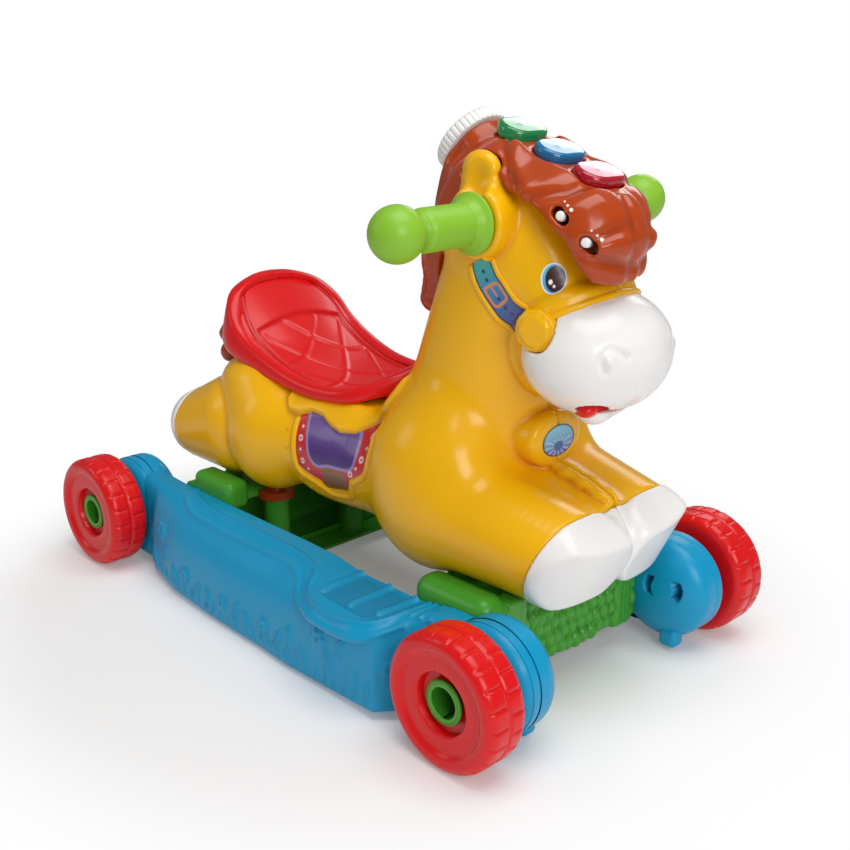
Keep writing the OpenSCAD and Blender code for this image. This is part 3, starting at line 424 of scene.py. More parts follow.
def hollows(points, faces, rounds=10, depth=1.2):
    """How deep each point lies in a crease, from 0 to 1."""
    smooth = points
    for _ in range(rounds):
        smooth = smooth + 0.6 * (neighbours(smooth, faces) - smooth)
    rise = ((smooth - points) * outward(points, faces)).sum(1)
    return np.clip(rise / depth, 0, 1)


def stack(*meshes):
    """Several meshes as one."""
    points = []
    faces = []
    start = 0
    for p, f in meshes:
        points.append(np.asarray(p, float))
        faces += [tuple(int(i) + start for i in q) for q in f]
        start += len(p)
    return np.concatenate(points), faces


def mirrored(points, faces):
    return np.asarray(points) * (1, -1, 1), [tuple(reversed(f)) for f in faces]


def surface_of(points, faces):
    return BVHTree.FromPolygons(np.asarray(points).tolist(), [list(map(int, f)) for f in faces])


def settle(tree, point, way, lift=0.0):
    """Where a point pushed along a way meets a surface, and the normal there."""
    way = Vector(way).normalized()
    spot = tree.ray_cast(Vector(point) - way * 400, way)
    if spot[0] is None:
        spot = tree.find_nearest(Vector(point))
    return np.array(spot[0] + spot[1] * lift), np.array(spot[1])


def spline(points, count, closed=False):
    """Points along a smooth curve through the given ones."""
    points = np.asarray(points, float)
    size = len(points)
    spans = size if closed else size - 1
    made = []
    for t in np.linspace(0, spans, count, endpoint=not closed):
        i = min(int(t), spans - 1)
        f = t - i
        if closed:
            a, b, c, d = (points[(i + k) % size] for k in (-1, 0, 1, 2))
        else:
            a, b, c, d = (points[min(max(i + k, 0), size - 1)] for k in (-1, 0, 1, 2))
        made.append(0.5 * (2 * b + (c - a) * f + (2 * a - 5 * b + 4 * c - d) * f * f
                           + (3 * b - a - 3 * c + d) * f ** 3))
    return np.array(made)


def bead(line, normals, wide, tall, closed=False, sides=8, taper=True):
    """A raised round line laid on a surface."""
    line = np.asarray(line, float)
    count = len(line)
    points = []
    for i in range(count):
        before = line[(i - 1) % count] if closed else line[max(i - 1, 0)]
        after = line[(i + 1) % count] if closed else line[min(i + 1, count - 1)]
        ahead = (after - before) / max(np.linalg.norm(after - before), 1e-9)
        side = np.cross(normals[i], ahead)
        side /= max(np.linalg.norm(side), 1e-9)
        ends = 1.0
        if taper and not closed:
            ends = min(1.0, 0.25 + min(i, count - 1 - i) / 4)
        for j in range(sides):
            a = 2 * math.pi * j / sides
            points.append(line[i] + ends * (side * wide * math.cos(a) + normals[i] * tall * math.sin(a)))
    faces = []
    for i in range(count if closed else count - 1):
        n = (i + 1) % count
        for j in range(sides):
            k = (j + 1) % sides
            faces.append((i * sides + j, i * sides + k, n * sides + k, n * sides + j))
    if not closed:
        faces.append(tuple(reversed(range(sides))))
        faces.append(tuple(range((count - 1) * sides, count * sides)))
    return np.array(points), faces


head_centre = (165, 0, 385)
head_form = (head_centre, (68, 60, 54))
nose_form = ((222, 0, 324), (42, 50, 42))
neck_low = ((126, 0, 212), (70, 64, 60))
neck_top = ((162, 0, 341), (61, 57, 60))
rump = ((-122, 0, 176), (72, 82, 54))
waist = ((-10, 0, 153), (62, 84, 55))
chest = ((112, 0, 170), (82, 86, 78))
chest_join = ((112, 0, 156), (82, 86, 64))
thigh = ((-150, -59, 152), (52, 42, 52))
hock = ((-201, -62, 140), (45, 38, 37))
forearm = ((150, -56, 146), (60, 47, 50))
fore_end = ((256, -45, 134), (46, 45, 41))
fore_fill = ((186, 0, 147), (46, 44, 44))
fore_fill_end = ((264, 0, 132), (36, 34, 39))
muzzle_back = ((248, 0, 292), (55, 65, 49.5))
muzzle_front = ((258, 0, 290), (46, 55, 38))
front_hoof_turn = math.radians(20)
rear_hoof_x = -214


def front_hoof_line(x, z):
    return (x - 262) * math.cos(front_hoof_turn) - (z - 140) * math.sin(front_hoof_turn)


def step_up(value, low, high):
    """A smooth step from 0 at low to 1 at high."""
    part = np.clip((value - low) / (high - low), 0, 1)
    return part * part * (3 - 2 * part)


def outline_gap(px, pz, outline):
    """How far each place lies from an outline drawn from the side; below zero inside it."""
    outline = np.asarray(outline)
    away = np.full(px.shape, 1e9)
    inside = np.zeros(px.shape, bool)
    for (ax, az), (bx, bz) in zip(outline, np.roll(outline, -1, axis=0)):
        dx = bx - ax
        dz = bz - az
        share = np.clip(((px - ax) * dx + (pz - az) * dz) / (dx * dx + dz * dz), 0, 1)
        away = np.minimum(away, np.hypot(px - ax - share * dx, pz - az - share * dz))
        if az != bz:
            inside ^= ((az > pz) != (bz > pz)) & (px < dx * (pz - az) / dz + ax)
    return np.where(inside, -away, away)


def side_mask(x, z, outline, soft):
    """1 well inside an outline drawn from the side, 0 outside it, with a soft edge."""
    px, pz = np.meshgrid(x[:, 0, 0], z[0, 0, :], indexing="ij")
    mask = step_up(0.5 - 0.5 * outline_gap(px, pz, outline) / soft, 0, 1)
    return mask[:, None, :].astype(np.float32)


body_step = 1.8
clay = Clay((-240, -108, 88), (308, 3.6, 450), body_step)
clay.limb(rump, waist)
clay.limb(waist, chest_join, 14)
clay.ball(*chest, 14)
spans, x, y, z = clay.window((-190, -108, 90), (70, 4, 240))
clay.join(spans, block_form(x, y, z, (-58, 0, 160), (112, 76, 46), 34), 16)
clay.limb(((-94, -59, 157), (54, 43, 58)), ((-120, -50, 197), (51, 37, 33)), 12)
clay.limb(thigh, hock, 3)
clay.ball((128, -60, 165), (66, 46, 76), 12)
clay.limb(fore_fill, fore_fill_end, 12)
clay.limb(forearm, fore_end, 14)
clay.limb(neck_low, neck_top, 26)
clay.limb(head_form, nose_form, 14)

# the cup on the chest that carries the badge: oval, with a flat face
spans, x, y, z = clay.window((150, -40, 176), (230, 4, 246))
cup_edge = 6
cup_side = (np.hypot(y / 32, (z - 210) / 24) - 1) * 24 + cup_edge
cup_face = x - 213 + cup_edge
cup_outside = np.hypot(np.maximum(cup_side, 0), np.maximum(cup_face, 0))
clay.join(spans, cup_outside + np.minimum(np.maximum(cup_side, cup_face), 0) - cup_edge, 3)

# the knotted fold between the forelegs
fold = [(216, 189), (225, 187), (234, 185), (243, 183), (252, 180), (260, 177), (267, 174)]
for i, (px, pz) in enumerate(fold):
    clay.ball((px, -2 - 2 * (i % 2), pz - 2), (6.5 + 1.5 * (i % 2), 6, 5.5), 2.5)

# the hollow that the saddle is pressed into
spans, x, y, z = clay.window((-186, -84, 186), (72, 4, 330))
seat_x = [-176, -157, -122, -92, -52, -12, 18, 38, 56]
seat_half = np.interp(x, [-176, -168, -156, -140, -120, -75, -25, 18, 40, 50, 56],
                      [4, 36, 52, 60, 63, 64, 63, 55, 30, 14, 4])
bow = (y / np.maximum(seat_half, 1)) ** 2
seat_at = x - np.interp(x, seat_x, [0, -5, -25, -36, -48, -48, -38, -20, 0]) * np.minimum(bow, 1)
seat_z = np.interp(seat_at, seat_x, [298, 284, 257, 234, 217, 212, 216, 227, 244])
seat_z = seat_z + np.interp(seat_at, seat_x, [0, -1, 8, 10, 10, 6, 0, -4, 0]) * np.minimum(bow, 1)
clay.cut(spans, np.maximum(seat_z - 10 - z, np.abs(y) - seat_half + 2))

# the blanket's wavy lip that hangs over the flap, and the shallow well under it
lip = [(-64, 240), (-54, 202), (-46, 193), (-34, 192), (-20, 197), (-6, 196), (9, 191), (24, 188), (40, 190),
       (53, 198), (64, 208), (76, 221), (86, 236), (90, 250)]
well = [(-44, 190), (-38, 156), (-30, 134), (-6, 126), (27, 122), (50, 130), (74, 156), (82, 184), (80, 212),
        (10, 208)]
spans, x, y, z = clay.window((-80, -108, 90), (104, -40, 250))
raised = 5.0 * side_mask(x, z, lip, 3.5) - 2.5 * side_mask(x, z, well, 9.0)
clay.field[spans] -= raised * np.clip((-y - 44) / 12, 0, 1)

# the collar round the grip, and the ear with its shallow hollow
grip_x = 176
grip_z = 389
spans, x, y, z = clay.window((126, -84, 336), (226, -10, 440))
from_grip = np.hypot(x - grip_x, z - grip_z)
clay.join(spans, np.maximum(from_grip - 25.5, np.maximum(y + 24, -66 - y)), 4)
clay.join(spans, np.hypot(from_grip - 24, np.minimum(y + 64, 0)) - 4, 3)
ear_forms = (((165, -45, 404), (22, 15, 20)), ((167, -49, 427), (18, 10.5, 15)))
clay.limb(*ear_forms, 8)
clay.ball((175, -66, 425), (15, 11, 17), 4, carve=True)

boss_centre = (232.5, 56, 314)


def boss_place(x, y, z):
    """How far each place lies from the axis of the boss beside the muzzle, and how high along it."""
    ahead = x - boss_centre[0]
    aside = np.abs(y) - boss_centre[1]
    high = ahead * 0.24 + aside * 0.97
    away = ahead ** 2 + aside ** 2 + (z - boss_centre[2]) ** 2
    return np.sqrt(np.maximum(away - high ** 2, 0)), high


# the raised band round the muzzle with a round boss on its side
spans, x, y, z = clay.window((186, -90, 222), (310, 4, 400))
muzzle_near = limb_form(x, y, z, muzzle_back, muzzle_front)
clay.join(spans, np.maximum(limb_form(x, y, z, head_form, nose_form) - 1.5, muzzle_near - 10), 3)
clay.field[spans] -= 3.6 * step_up(11.5 - muzzle_near, 0, 3.5)
before_cap = clay.field.copy()
clay.cut(spans, muzzle_near - 0.4)
boss_out, boss_high = boss_place(x, y, z)
clay.join(spans, np.maximum(boss_out - 16.5, np.abs(boss_high + 10) - 14), 2.5)
clay.join(spans, np.maximum(boss_out - 12, np.abs(boss_high + 10) - 16.5), 2.5)

# the ends of the legs stop at the hooves, and the half stops at the middle plane
spans, x, y, z = clay.whole()
clay.cut(spans, np.where(z < 236, -front_hoof_line(x, z), 400))
clay.cut(spans, np.where(z < 240, x - rear_hoof_x, 400))
clay.field[spans] = np.maximum(clay.field[spans], y + 0.25)
spans, x, y, z = clay.window((204, -24, 120), (300, 3.6, 190))
clay.cut(spans, -0.25 - y, 2.5)
half_points, half_faces = clay.skin()
half_points = eased(half_points, half_faces)
half_skin = surface_of(half_points, half_faces)


def side_line(outline, count):
    """Points and normals on the right flank along a line drawn from the side."""
    line = []
    normals = []
    for px, pz in spline(outline, count):
        spot, normal = settle(half_skin, (px, -90, pz), (0, 1, 0))
        line.append(spot)
        normals.append(normal)
    return np.array(line), np.array(normals)


cap_middle = np.array((250, 0, 291))


def cap_edge(count):
    """The line on the muzzle where the band round it ends, from the top middle to the chin."""
    along = np.array((0.764, 0, -0.645))
    line = []
    for turn in np.linspace(0, math.pi, count):
        aside = math.cos(turn) * np.array((0.645, 0, 0.764)) + math.sin(turn) * np.array((0, -1, 0))
        lean = np.linspace(0.3, 2.2, 120)
        ways = -np.cos(lean)[:, None] * along + np.sin(lean)[:, None] * aside
        low = np.zeros(len(lean))
        high = np.full(len(lean), 90.0)
        for _ in range(26):
            reach = (low + high) / 2
            spot = cap_middle + ways * reach[:, None]
            outside = limb_form(spot[:, 0], spot[:, 1], spot[:, 2], muzzle_back, muzzle_front) > 0.6
            high = np.where(outside, reach, high)
            low = np.where(outside, low, reach)
        spot = cap_middle + ways * low[:, None]
        cell = np.round((spot - clay.low) / clay.step).astype(int)
        cell = np.clip(cell, 0, np.array(before_cap.shape) - 1)
        covered = before_cap[cell[:, 0], cell[:, 1], cell[:, 2]] < 0
        last = np.nonzero(covered)[0]
        line.append(spot[last[-1] if len(last) else 0])
    return np.array(line)


lip_edge = cap_edge(120)
for _ in range(14):
    lip_edge[1:-1] = 0.5 * lip_edge[1:-1] + 0.25 * (lip_edge[:-2] + lip_edge[2:])
lip_edge[:, 1] = np.minimum(lip_edge[:, 1], -0.3)
lip_out = lip_edge - cap_middle
lip_out /= np.linalg.norm(lip_out, axis=1)[:, None]

# raised lines: the lip of the band, the edges of the bridle strap, the frame round the flap and the
# stitch dots beside the frame
trim = [bead(lip_edge + 0.6 * lip_out, lip_out, 3.0, 2.6, sides=12, taper=False)]
strap_low = [(168, 357), (169, 351), (173, 341), (178, 333), (185, 323), (192, 314), (205, 307)]
strap_high = [(184, 363), (187, 358), (191, 350), (196, 344), (202, 336), (208, 330), (222, 325)]
for edge, shift in ((strap_low, (-2.2, -1.2)), (strap_high, (2.0, 1.6))):
    trim.append(bead(*side_line(np.add(edge, shift), 36), 2.2, 2.4))
flap_frame = [(-35, 190), (-35, 178), (-32, 157), (-26, 140), (-6, 135), (6, 130), (14, 126), (27, 127),
              (41, 132), (47, 145), (58, 153), (69, 163), (75, 181), (72, 204)]
trim.append(bead(*side_line(flap_frame, 90), 3.4, 3.0))
stitches = [(-44, 176), (-42, 160), (-38, 144), (-28, 132), (-14, 127), (-2, 123), (54, 140), (66, 147),
            (78, 158), (83, 172), (84, 188)]
for px, pz in stitches:
    spot, normal = settle(half_skin, (px, -90, pz), (0, 1, 0))
    ring = [spot + 1.7 * np.array((math.cos(a), 0, math.sin(a))) for a in np.linspace(0, 2 * math.pi, 9)[:-1]]
    trim.append(bead(np.array(ring), np.array([normal] * 8), 0.7, 0.8, closed=True, sides=6))
# painted shade: the yellow turns orange in the body's creases, and the raised trim has none
half_hollow = hollows(half_points, half_faces)
right_points, right_faces = stack((half_points, half_faces), *trim)
right_hollow = np.concatenate([half_hollow, np.zeros(len(right_points) - len(half_points))])
yellow = plastic("yellow_gloss", "#f6b808", "#dd8503", polish=0.2, bump=0.015, coat=0.12, shade_layer="hollow")
piece("body_right", right_points, right_faces, yellow, stands_for=["body_right_shell"], slot="yellow",
      extra={"hollow": right_hollow})
left_points, left_faces = mirrored(right_points, right_faces)
piece("body_left", left_points, left_faces, yellow, stands_for=["body_left_shell"], slot="yellow",
      extra={"hollow": right_hollow})


# Hooves: four white mouldings snapped over the ends of the legs, a little proud of the yellow. The
# right ones follow the legs' own forms, and the left ones mirror them.
white = plastic("white_gloss", "#f1efed", "#d9d4d2", polish=0.22, bump=0.012, coat=0.2, shade_layer="hollow")
fine_step = 1.6


def cast(clay):
    """The smoothed skin of a block of clay."""
    points, faces = clay.skin()
    return eased(points, faces), faces


def shaded_creases(points, faces, rounds=10, depth=1.2):
    """The mesh layer that paints shade into a moulding's hollows by turning its colour darker there."""
    return {"hollow": hollows(points, faces, rounds, depth)}


clay = Clay((214, -104, 84), (312, 1.6, 216), fine_step)
clay.limb(forearm, fore_end, grow=0.9)
clay.limb(fore_end, ((268, -42, 132), (46, 47.5, 41)), 4, grow=0.9)
clay.limb(((250, 0, 140), (30, 30, 34)), ((266, 0, 139), (22, 30, 31)), 5)
spans, x, y, z = clay.whole()
clay.cut(spans, (274 - x) * 0.625 + (172 - z) * 0.78, 3)
clay.cut(spans, (301 - 14 * (np.abs(y) / 78) ** 4 - x) * 0.9 + (z - 147) * 0.436, 3)
clay.cut(spans, z - 95.5, 5)
clay.cut(spans, front_hoof_line(x, z) - 0.4, 1.5)
clay.field[spans] = np.maximum(clay.field[spans], y + 0.25)
front_hoof = cast(clay)
clay = Clay((-262, -106, 92), (-204, -16, 200), fine_step)
clay.limb(thigh, hock, grow=0.9)
spans, x, y, z = clay.whole()
clay.cut(spans, rear_hoof_x - 0.4 - x, 1.5)
rear_hoof = cast(clay)
# painted shade: the white turns grey in the hooves' creases
for end, (points, faces) in (("front", front_hoof), ("rear", rear_hoof)):
    shading = shaded_creases(points, faces)
    piece(end + "_hoof_right", points, faces, white, stands_for=[end + "_right_hoof"], slot="white",
          extra=shading)
    piece(end + "_hoof_left", *mirrored(points, faces), white, stands_for=[end + "_left_hoof"], slot="white",
          extra=shading)


# Muzzle: one white ball-like cap let into the front of the head, with two nostrils pressed in and a
# small lower lip that holds a red tongue.
def near_line(x, y, z, line):
    """How far each place lies from a line."""
    away = None
    for p, q in zip(line[:-1], line[1:]):
        along = np.subtract(q, p)
        share = ((x - p[0]) * along[0] + (y - p[1]) * along[1] + (z - p[2]) * along[2]) / (along @ along)
        share = np.clip(share, 0, 1)
        gap = np.sqrt((x - p[0] - share * along[0]) ** 2 + (y - p[1] - share * along[1]) ** 2
                      + (z - p[2] - share * along[2]) ** 2)
        away = gap if away is None else np.minimum(away, gap)
    return away


def ridge(gap, wide):
    """1 on a line, fading to 0 on both sides of it."""
    return np.exp(-(gap / wide) ** 2)


clay = Clay((184, -70, 218), (316, 70, 362), fine_step)
clay.limb(muzzle_back, muzzle_front)
clay.limb(((256, -12, 247), (13, 14, 11)), ((256, 10, 249), (13, 14, 9)), 2)
spans, x, y, z = clay.window((225, -60, 225), (300, 60, 285))
clay.cut(spans, round_form(x, np.abs(y), z, (269, 31, 255), (13, 13, 7)), 1)
clay.cut(spans, round_form(x, y, z, (270, 0, 252), (12, 34, 3.5)), 1)
for side in (-1, 1):
    low_y, high_y = sorted((10 * side, 64 * side))
    spans, x, y, z = clay.window((270, low_y, 274), (316, high_y, 330))
    nostril = [(288.5, side * 43, 291), (287, side * 46, 301), (291, side * 39, 308), (297, side * 29, 301)]
    brow = np.add(nostril, (2, 0, 6))
    clay.field[spans] += 2.8 * ridge(near_line(x, y, z, spline(nostril, 16)), 2.8)
    clay.field[spans] -= 1.5 * ridge(near_line(x, y, z, spline(brow, 16)), 4.5)
spans, x, y, z = clay.whole()
cap_tilt = math.radians(38)
clay.cut(spans, (x - 248) * math.cos(cap_tilt) - (z - 296) * math.sin(cap_tilt) + 40)
boss_out, boss_high = boss_place(x, y, z)
clay.cut(spans, np.maximum(boss_out - 16.9, -20 - boss_high), 0.6)
points, faces = cast(clay)
# painted shade: the white turns grey in the cap's creases and nostrils
piece("muzzle_cap", points, faces, white, stands_for=["muzzle"], slot="white", extra=shaded_creases(points, faces))

# the tongue: a flat red strip across the mouth, raised at its two ends
clay = Clay((240, -46, 238), (280, 46, 266), 0.9)
for side in (-1, 1):
    clay.limb(((258, side * 24, 250), (9, 9, 5.5)), ((264, side * 30, 253.5), (7.5, 8, 5)))
clay.limb(((258, -24, 250), (9, 9, 5.5)), ((258, 24, 250), (9, 9, 5.5)))
points, faces = cast(clay)
# painted shade: the red turns darker in the tongue's creases
red = plastic("red_gloss", "#df1014", "#ac080d", polish=0.24, bump=0.015, coat=0.1, shade_layer="hollow")
piece("tongue_tip", points, faces, red, stands_for=["tongue"], slot="red", extra=shaded_creases(points, faces))


# Printed labels: thin glossy film, cut to shape and stuck in shallow places on the yellow. The film is
# printed with plain shapes, and its inks lie in three mesh layers.
ink_names = ("ink_r", "ink_g", "ink_b")
printed = bpy.data.materials.new("printed_film")
printed.use_nodes = True
tree = printed.node_tree
shader = tree.nodes["Principled BSDF"]
inks = tree.nodes.new("ShaderNodeCombineColor")
for i, key in enumerate(ink_names):
    ink_layer = tree.nodes.new("ShaderNodeAttribute")
    ink_layer.attribute_name = key
    tree.links.new(ink_layer.outputs["Fac"], inks.inputs[i])
moulded = tree.nodes.new("ShaderNodeGroup")
moulded.node_tree = finish
moulded.inputs["Polish"].default_value = 0.24
moulded.inputs["Grain"].default_value = 1800
tree.links.new(inks.outputs["Color"], moulded.inputs["Colour"])
tree.links.new(moulded.outputs["Colour"], shader.inputs["Base Color"])
tree.links.new(moulded.outputs["Roughness"], shader.inputs["Roughness"])
film_relief = tree.nodes.new("ShaderNodeBump")
film_relief.inputs["Strength"].default_value = 0.02
film_relief.inputs["Distance"].default_value = 0.0003
tree.links.new(moulded.outputs["Height"], film_relief.inputs["Height"])
tree.links.new(film_relief.outputs["Normal"], shader.inputs["Normal"])
shader.inputs["Coat Weight"].default_value = 0.3
shader.inputs["Coat Roughness"].default_value = 0.1


def ink(code):
    return np.array(linear(code)[:3])


def ink_between(share, full, none):
    return share * ink(full) + (1 - share) * ink(none)


def inked(base, layers):
    """The ink at each point: a base colour with masked layers printed over it."""
    colours = np.tile(ink(base), (len(layers[0][0]), 1))
    for mask, tint in layers:
        tint = ink(tint) if isinstance(tint, str) else tint
        colours = colours * (1 - mask[:, None]) + tint * mask[:, None]
    return colours


def ink_layers(colours):
    return {key: colours[:, i] for i, key in enumerate(ink_names)}


def film(name, points, faces, colours, node):
    piece(name, points, faces, printed, stands_for=[node], slot="print", extra=ink_layers(colours))


def within(distance, soft=0.35):
    """A mask that is 1 where a distance is below zero, with a soft edge."""
    return np.clip(0.5 - distance / (2 * soft), 0, 1)


def grid_faces(rows, cols, flip=False):
    """Four-sided faces between neighbouring rows and columns of points."""
    faces = []
    for i in range(rows - 1):
        for j in range(cols - 1):
            here = i * cols + j
            after = here + cols
            faces.append((here, here + 1, after + 1, after) if flip else (here, after, after + 1, here + 1))
    return faces


def patch(u, v, place):
    """A sheet of film whose points are placed one by one."""
    points = np.array([place(a, b) for a, b in zip(u.ravel(), v.ravel())])
    return points, grid_faces(*u.shape)


def disc(rings, turns):
    """Places on a round disc of radius 1, ring by ring."""
    reach, angle = np.meshgrid(np.linspace(0.001, 1, rings), np.linspace(0, 2 * math.pi, turns),
                               indexing="ij")
    return reach * np.cos(angle), reach * np.sin(angle)


def on_side(px, pz):
    return settle(half_skin, (px, -90, pz), (0, 1, 0), 0.35)[0]


# eye: a white rim, a blue ring and a dark pupil with two lights in it
eye_half = (9.6, 11.9)
eye_spot = settle(half_skin, (234.8, -90, 351.4), (0, 1, 0))[0]
eye_face = np.array((0.43, -0.82, 0.38))
eye_across = np.array((0.886, 0.464, 0))
eye_up = np.cross(eye_face, eye_across)


def eye_place(a, b):
    spot = eye_spot + eye_half[0] * a * eye_across + eye_half[1] * b * eye_up
    return settle(half_skin, spot, -eye_face, 0.4)[0]


u, v = disc(26, 73)
points, faces = patch(u, v, eye_place)
u = u.ravel()
v = v.ravel()
iris = np.hypot((u - 0.03) / 0.9, v / 0.92) - 1
pupil = np.hypot((u - 0.12) / 0.7, v / 0.77) - 1
shine = np.hypot(u + 0.2, v + 0.22) - 0.16
spark = np.hypot(u - 0.1, v + 0.47) - 0.1
glow = np.clip(0.5 - 0.6 * u + 0.3 * v, 0, 1)[:, None]
blue_glow = ink_between(glow, "#5cc3ec", "#1465a8")
eye_ink = inked("#f7f9fa", [(within(iris, 0.03), blue_glow), (within(pupil - 0.07, 0.03), "#12233f"),
                            (within(pupil, 0.03), "#3a1412"), (within(shine, 0.03), "#ffffff"),
                            (within(spark, 0.03), "#ffffff")])
film("right_eye_print", points, faces, eye_ink, "right_eye")
film("left_eye_print", *mirrored(points, faces), eye_ink, "left_eye")

# bridle strap: teal to purple along its length, with a dark edge, a buckle outline and holes
strap_ends = [spline(edge, 70) for edge in (strap_low, strap_high)]
strap_mid = (strap_ends[0] + strap_ends[1]) / 2
strap_run = np.concatenate([[0], np.cumsum(np.linalg.norm(np.diff(strap_mid, axis=0), axis=1))])
strap_wide = np.linalg.norm(strap_ends[1] - strap_ends[0], axis=1) / 2
s, a = np.meshgrid(np.arange(70), np.linspace(-1, 1, 30), indexing="ij")


def strap_place(i, share):
    px, pz = strap_ends[0][int(i)] * (0.5 - share / 2) + strap_ends[1][int(i)] * (0.5 + share / 2)
    return on_side(px, pz)


points, faces = patch(s, a, strap_place)
run = strap_run[s.ravel()]
across = a.ravel() * strap_wide[s.ravel()]
share = (run / strap_run[-1])[:, None]
teal = ink("#3bb3a8")
azure = ink("#1573b8")
violet = ink("#4a2a86")
strap_tint = np.where(share < 0.5, teal + (azure - teal) * share * 2,
                      azure + (violet - azure) * (share * 2 - 1))
edge = (1 - np.abs(a.ravel())) * strap_wide[s.ravel()]
buckle = np.hypot(np.maximum(np.abs(run - 29) - 5, 0), np.maximum(np.abs(across) - 4.5, 0)) - 3
layers = [(np.ones(len(run)), strap_tint), (within(edge - 1.0), "#14233a"),
          (within(np.abs(buckle) - 1.1), "#e8862a"),
          (within(np.maximum(np.abs(run - 26) - 4.5, np.abs(across) - 0.9)), "#e8862a")]
for hole in (9, 16, 33, 41, 48):
    layers.append((within(np.hypot(run - hole, across) - 1.6), "#101b2c"))
strap_ink = inked("#1573b8", layers)
film("right_strap_print", points, faces, strap_ink, "right_strap_label")
film("left_strap_print", *mirrored(points, faces), strap_ink, "left_strap_label")

# saddle flap: a purple panel with a pale edge in a red border with small white flowers, over a brown strap
flap_top = np.array([(-34, 187), (-20, 192), (-6, 191), (9, 186), (24, 184), (40, 186), (53, 193), (70, 205)])
flap_low = np.array([(-34, 184), (-31, 168), (-26, 146), (-6, 141), (6, 138), (8, 131), (40, 137), (44, 149),
                     (61, 159), (68, 171), (70, 200)])
flap_x = np.linspace(-33, 69.5, 104)
top_z = np.interp(flap_x, flap_top[:, 0], flap_top[:, 1]) + 3
low_z = np.interp(flap_x, flap_low[:, 0], flap_low[:, 1])
col, row = np.meshgrid(np.arange(104), np.linspace(0, 1, 80), indexing="ij")


def flap_place(i, share):
    i = int(i)
    return on_side(flap_x[i], low_z[i] + (top_z[i] - low_z[i]) * share)


points, faces = patch(col, row, flap_place)
px = points[:, 0]
pz = points[:, 2]
panel_line = [(-26, 200), (-19, 181), (-13, 165), (-7, 156), (3, 151), (16, 154), (32, 155), (44, 157),
              (50, 164), (50, 178), (46, 190), (38, 204)]
panel = outline_gap(px, pz, spline(panel_line, 60))
strap_part = np.maximum(np.abs(px - 24) - 15.5, pz - 153)
pale = np.clip((pz - 160) / 30, 0, 1)[:, None]
panel_tint = ink_between(pale, "#6b4f97", "#43246f")
layers = [(within(strap_part), "#8a5a2c"), (within(panel - 0.4, 0.5), "#9487bf"),
          (within(panel + 2.4, 0.6), panel_tint)]
blooms = [(-25, 182), (-24, 172), (-22, 162), (-18, 152), (-10, 146), (61, 191), (60, 181), (58, 171),
          (53, 162), (46, 155)]
for i, (bx, bz) in enumerate(blooms):
    reach = np.hypot(px - bx, pz - bz)
    bloom = np.abs(reach - 2.2) - 0.7 if i % 2 else reach - 1.3
    layers.append((within(bloom, 0.4), "#f6e9ec"))
flap_ink = inked("#c9161f", layers)
film("right_flap_print", points, faces, flap_ink, "right_flap_label")
film("left_flap_print", *mirrored(points, faces), flap_ink, "left_flap_label")

# chest badge: an oval film with a dark edge and plain rays over a pale sky
u, v = disc(30, 97)
points, faces = patch(u, v, lambda a, b: (213.4, 20 * a, 209 + 13.5 * b))
u = u.ravel()
v = v.ravel()
rays = 0.5 + 0.5 * np.cos(np.arctan2(v + 0.35, u) * 12)
sky = np.clip(0.5 + 0.7 * v, 0, 1)[:, None]
sky_tint = ink_between(sky, "#7fd0ee", "#6a5bb5")
layers = [(np.ones(len(u)), sky_tint), (np.clip(rays * 1.6 - 0.8, 0, 1) * (v < 0.1), "#a9dcf1"),
          (within(np.hypot(u, v + 0.35) - 0.3, 0.03), "#2060a8"),
          (within(0.93 - np.hypot(u, v), 0.02), "#16325e")]
film("chest_badge_print", points, faces, inked("#7fd0ee", layers), "chest_badge")


# Mane: a glossy brown cap over the crown, the forelock and the back of the neck. It is one shell with
# locks pressed into it, clipped over the head, with seats for the buttons, the dial and two switches.
def at_head(x, y, z):
    return (head_centre[0] + x, y, head_centre[2] + z)


mane_forms = [(at_head(-75, 0, -75), (26, 30, 17)), (at_head(-65, 0, -35), (26, 33, 28)),
              (at_head(-36, 0, 25), (28, 40, 34)), (at_head(2, 0, 29), (44, 56, 36)),
              (at_head(49, 0, 14), (46, 56, 36)), (at_head(88, -8, -2), (30, 42, 34)),
              (at_head(98, -9, -33), (18, 35, 20))]
mane_edge = [(20, 290), (60, 298), (84, 294), (98, 302), (100, 320), (104, 340), (107, 352), (122, 362),
             (142, 374), (156, 386), (170, 410), (186, 423), (197, 414), (210, 411), (226, 403), (240, 392),
             (252, 382), (257, 371), (262, 361), (268, 353), (276, 350), (283, 346), (330, 342), (330, 490),
             (20, 490)]
mane_step = 1.5
clay = Clay((50, -66, 284), (302, 66, 470), mane_step)
for low_form, high_form in zip(mane_forms[:-1], mane_forms[1:]):
    clay.limb(low_form, high_form, 12)
dial_seat = Matrix.Translation(at_head(-49, 0, 53.5)) @ Matrix.Rotation(math.radians(-52), 4, "Y")


def local(turned, x, y, z):
    """Places as a turned seat sees them."""
    back_to = np.array(turned.inverted())
    return [back_to[i, 0] * x + back_to[i, 1] * y + back_to[i, 2] * z + back_to[i, 3] for i in range(3)]


spans, x, y, z = clay.window((60, -50, 400), (170, 50, 470))
u, v, w = local(dial_seat, x, y, z)
clay.join(spans, np.maximum(np.hypot(u, v) - 29.5, np.abs(w + 12) - 11.6), 8)

# behind the ear the cap lies close on the head
spans, x, y, z = clay.window((84, -66, 330), (172, 66, 440))
clay.join(spans, np.maximum(limb_form(x, y, z, head_form, nose_form) - 3, x - 164), 5)

# edge of the cap: the outline seen from the side, its border rolled in
spans, x, y, z = clay.whole()
clay.field[spans] += 9 * (1 - side_mask(x, z, mane_edge, 7.0)) ** 1.5
clay.cut(spans, 60 * (side_mask(x, z, mane_edge, 30.0) - 0.5))

